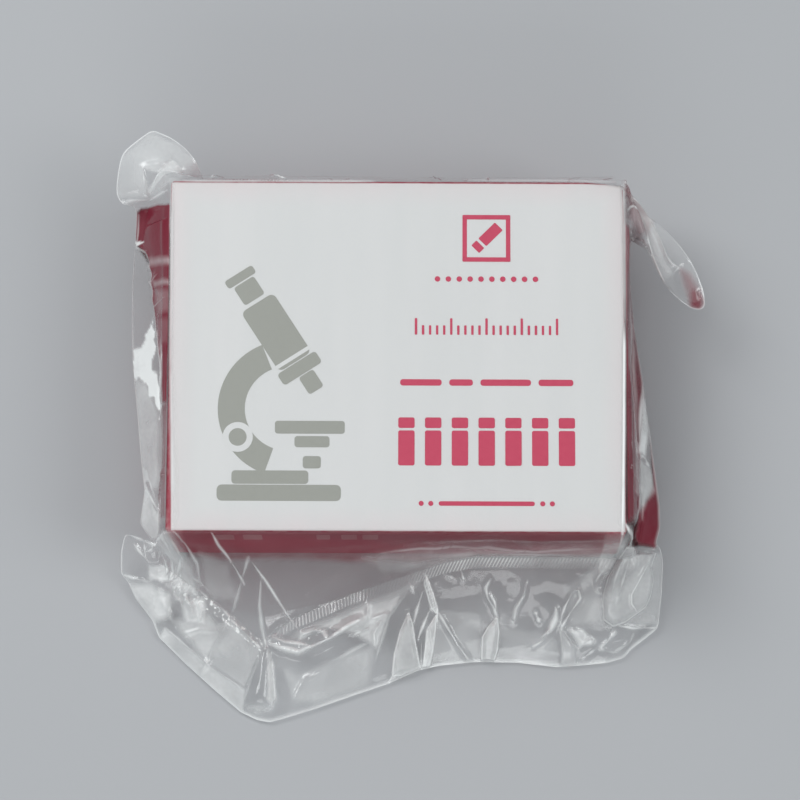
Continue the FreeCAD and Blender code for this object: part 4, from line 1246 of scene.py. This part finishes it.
# pale bars on the red walls: middle along the panel, height, width, height of the bar
wallBars = {
    "front": [(-30.6, 20.4, 3.4, 6.4), (-25.6, 20.4, 3.4, 6.4), (-13.0, 20.4, 2.4, 6.4),
              (-8.4, 20.4, 2.8, 6.4), (-4.6, 20.4, 2.8, 6.4)],
    "back": [(-28.0, 16.0, 7.0, 3.0), (-19.0, 16.0, 5.0, 3.0), (-12.0, 16.0, 3.0, 3.0),
             (20.0, 12.0, 24.0, 1.0)],
    "left": [(-21.4, 15.0, 5.4, 5.4), (-16.0, 15.0, 2.6, 5.4), (-10.6, 15.0, 2.6, 5.4),
             (-5.2, 15.0, 2.6, 5.4), (0.2, 15.0, 2.6, 5.4), (12.0, 9.0, 16.0, 1.0)],
    "right": [(-16.0, 15.0, 2.6, 5.4), (-10.6, 15.0, 2.6, 5.4), (-5.2, 15.0, 2.6, 5.4),
              (12.0, 9.0, 16.0, 1.0)],
}


def makeLid():
    inks = {name: makeInk(name) for name in lid["inks"]}
    card = makeLidCard()
    card.name = "lid_card"
    pieces = [makeGlueFlap(signX, signY, card.data.materials[1]) for signX in (-1, 1) for signY in (-1, 1)]
    for level, (outline, ink) in enumerate(microscopeShapes() + signShapes()):
        pieces.append(printShape(outline, inks[ink], "top", level % 16))
    for panel, bars in wallBars.items():
        for x, z, wide, high in bars:
            pieces.append(printShape(bar((x, z), (wide, high), 0.4), inks["inkPale"], panel, 0))
    deselect()
    for piece in (*pieces, card):
        piece.select_set(True)
    bpy.context.view_layer.objects.active = card
    bpy.ops.object.join()
    return card


lidPiece = makeLid()
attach(lidPiece, "root")
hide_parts("carton_lid")
print("lid made,", len(lidPiece.data.polygons), "faces")

# The tray and the glass slides keep their modelled shapes and get their finishes here.
glass = {
    "clear": (0.80, 0.93, 0.90),
    "ground": (0.90, 0.92, 0.91),
    "band": (18.5, 37.6),      # where the ground band starts and ends along the slide
}


def makeSlideGlass():
    material, tree, shader = newMaterial("slideGlass")
    place = objectPlace(tree)
    x, y, z = splitUp(place)
    start, stop = glass["band"]
    band = calc(tree, "GREATER_THAN", x, start * mm) * calc(tree, "LESS_THAN", x, stop * mm)
    plug(shader.inputs["Base Color"], mixColour(tree, band * 0.7, glass["clear"], glass["ground"]))
    plug(shader.inputs["Roughness"], noiseOf(place, 2500.0, 2.0).scaled(0.06, band * 0.5))
    plug(shader.inputs["IOR"], 1.52)
    plug(shader.inputs["Transmission Weight"], 0.85)
    return material


setMaterial(nodes["carton_base"], makeBareBoard())
slideGlass = makeSlideGlass()
for name, node in nodes.items():
    if name.startswith("slide_"):
        setMaterial(node, slideGlass)
print("tray and slides finished")

stage = {
    "floorColour": (0.42, 0.435, 0.45),
    "floorSize": 6,                          # in metres
    "floorFade": (0.35, 0.9),                # the floor turns into the backdrop between these distances
    "backdrop": (0.45, 0.47, 0.485),
    "skyLow": (0.13, 0.135, 0.14),
    "skyHigh": (0.415, 0.43, 0.445),
    "lamps": [                               # name, place, aim, width and height in metres, power
        ("keyLamp", (-0.35, 0.25, 0.55), (0, 0, 0.01), (0.36, 0.36), 2.5),
        ("fillLamp", (0.45, -0.1, 0.5), (0, 0, 0.01), (0.3, 0.3), 1.2),
        ("frontLamp", (-0.05, -0.6, 0.35), (0, -0.02, 0.01), (0.5, 0.25), 1.0),
    ],
}


def seenBy(tree):
    # 1 for the camera and for what glossy and clear surfaces show of the backdrop
    rays = addNode(tree, "ShaderNodeLightPath").outputs
    names = ("Is Camera Ray", "Is Glossy Ray", "Is Transmission Ray")
    direct, glossy, clear = (Wire(tree, rays[name]) for name in names)
    return calc(tree, "MAXIMUM", direct, calc(tree, "MAXIMUM", glossy, clear))


def makeFloor():
    deselect()
    bpy.ops.mesh.primitive_plane_add(size=stage["floorSize"], location=(0, 0, -0.1 * mm))
    floor = bpy.context.object
    floor.name = "floor"
    material, tree, shader = newMaterial("floorPaper")
    # far from the object the floor runs into the backdrop
    away = outputOf(tree, "Value", "ShaderNodeVectorMath", {0: objectPlace(tree)}, operation="LENGTH")
    nearEnd, farEnd = stage["floorFade"]
    faded = away.scaled(1 / (farEnd - nearEnd), -nearEnd / (farEnd - nearEnd)).clamped() * seenBy(tree)
    plug(shader.inputs["Base Color"], mixColour(tree, faded, stage["floorColour"], (0, 0, 0)))
    plug(shader.inputs["Roughness"], 0.7)
    plug(shader.inputs["Emission Color"], stage["backdrop"])
    plug(shader.inputs["Emission Strength"], faded)
    setMaterial(floor, material)


def makeLight():
    # the sky is a soft box overhead that darkens towards the horizon
    world = bpy.data.worlds.new("studio")
    bpy.context.scene.world = world
    world.use_nodes = True
    tree = world.node_tree
    up = splitUp(outputOf(tree, "Generated", "ShaderNodeTexCoord"))[2]
    sky = mixColour(tree, up.scaled(1.5, -0.1).clamped(), stage["skyLow"], stage["skyHigh"])
    plug(tree.nodes["Background"].inputs["Color"], mixColour(tree, seenBy(tree), sky, stage["backdrop"]))
    for name, place, aim, size, power in stage["lamps"]:
        bpy.ops.object.light_add(type="AREA", location=place)
        lamp = bpy.context.object
        lamp.name = name
        lamp.data.shape = "RECTANGLE"
        lamp.data.size, lamp.data.size_y = size
        lamp.data.energy = power
        lamp.rotation_mode = "QUATERNION"
        lamp.rotation_quaternion = (Vector(aim) - Vector(place)).to_track_quat("-Z", "Y")


# the camera stands almost straight above, a little to the front, and is rolled a little
camera = {"elevation": 79.2, "azimuth": -0.69, "roll": 0.91, "distance": 584.4, "target": (0.59, -8.22, 27.2),
          "lens": 147.87}


def addCamera():
    elevation, azimuth, roll = (math.radians(camera[key]) for key in ("elevation", "azimuth", "roll"))
    level = math.cos(elevation)
    back = Vector((math.sin(azimuth) * level, -math.cos(azimuth) * level, math.sin(elevation)))
    right = (-back).cross(Vector((0, 0, 1))).normalized()
    upward = right.cross(-back)
    c, s = math.cos(roll), math.sin(roll)
    turned = Matrix((c * right + s * upward, c * upward - s * right, back))
    bpy.ops.object.camera_add()
    piece = bpy.context.object
    piece.data.lens = camera["lens"]
    piece.data.sensor_width = 36
    piece.data.clip_start = 0.01
    place = (Vector(camera["target"]) + back * camera["distance"]) * mm
    piece.matrix_world = Matrix.Translation(place) @ turned.transposed().to_4x4()
    bpy.context.scene.camera = piece


makeFloor()
makeLight()
addCamera()
bpy.context.scene.view_settings.view_transform = "Standard"
print("stage and camera set")
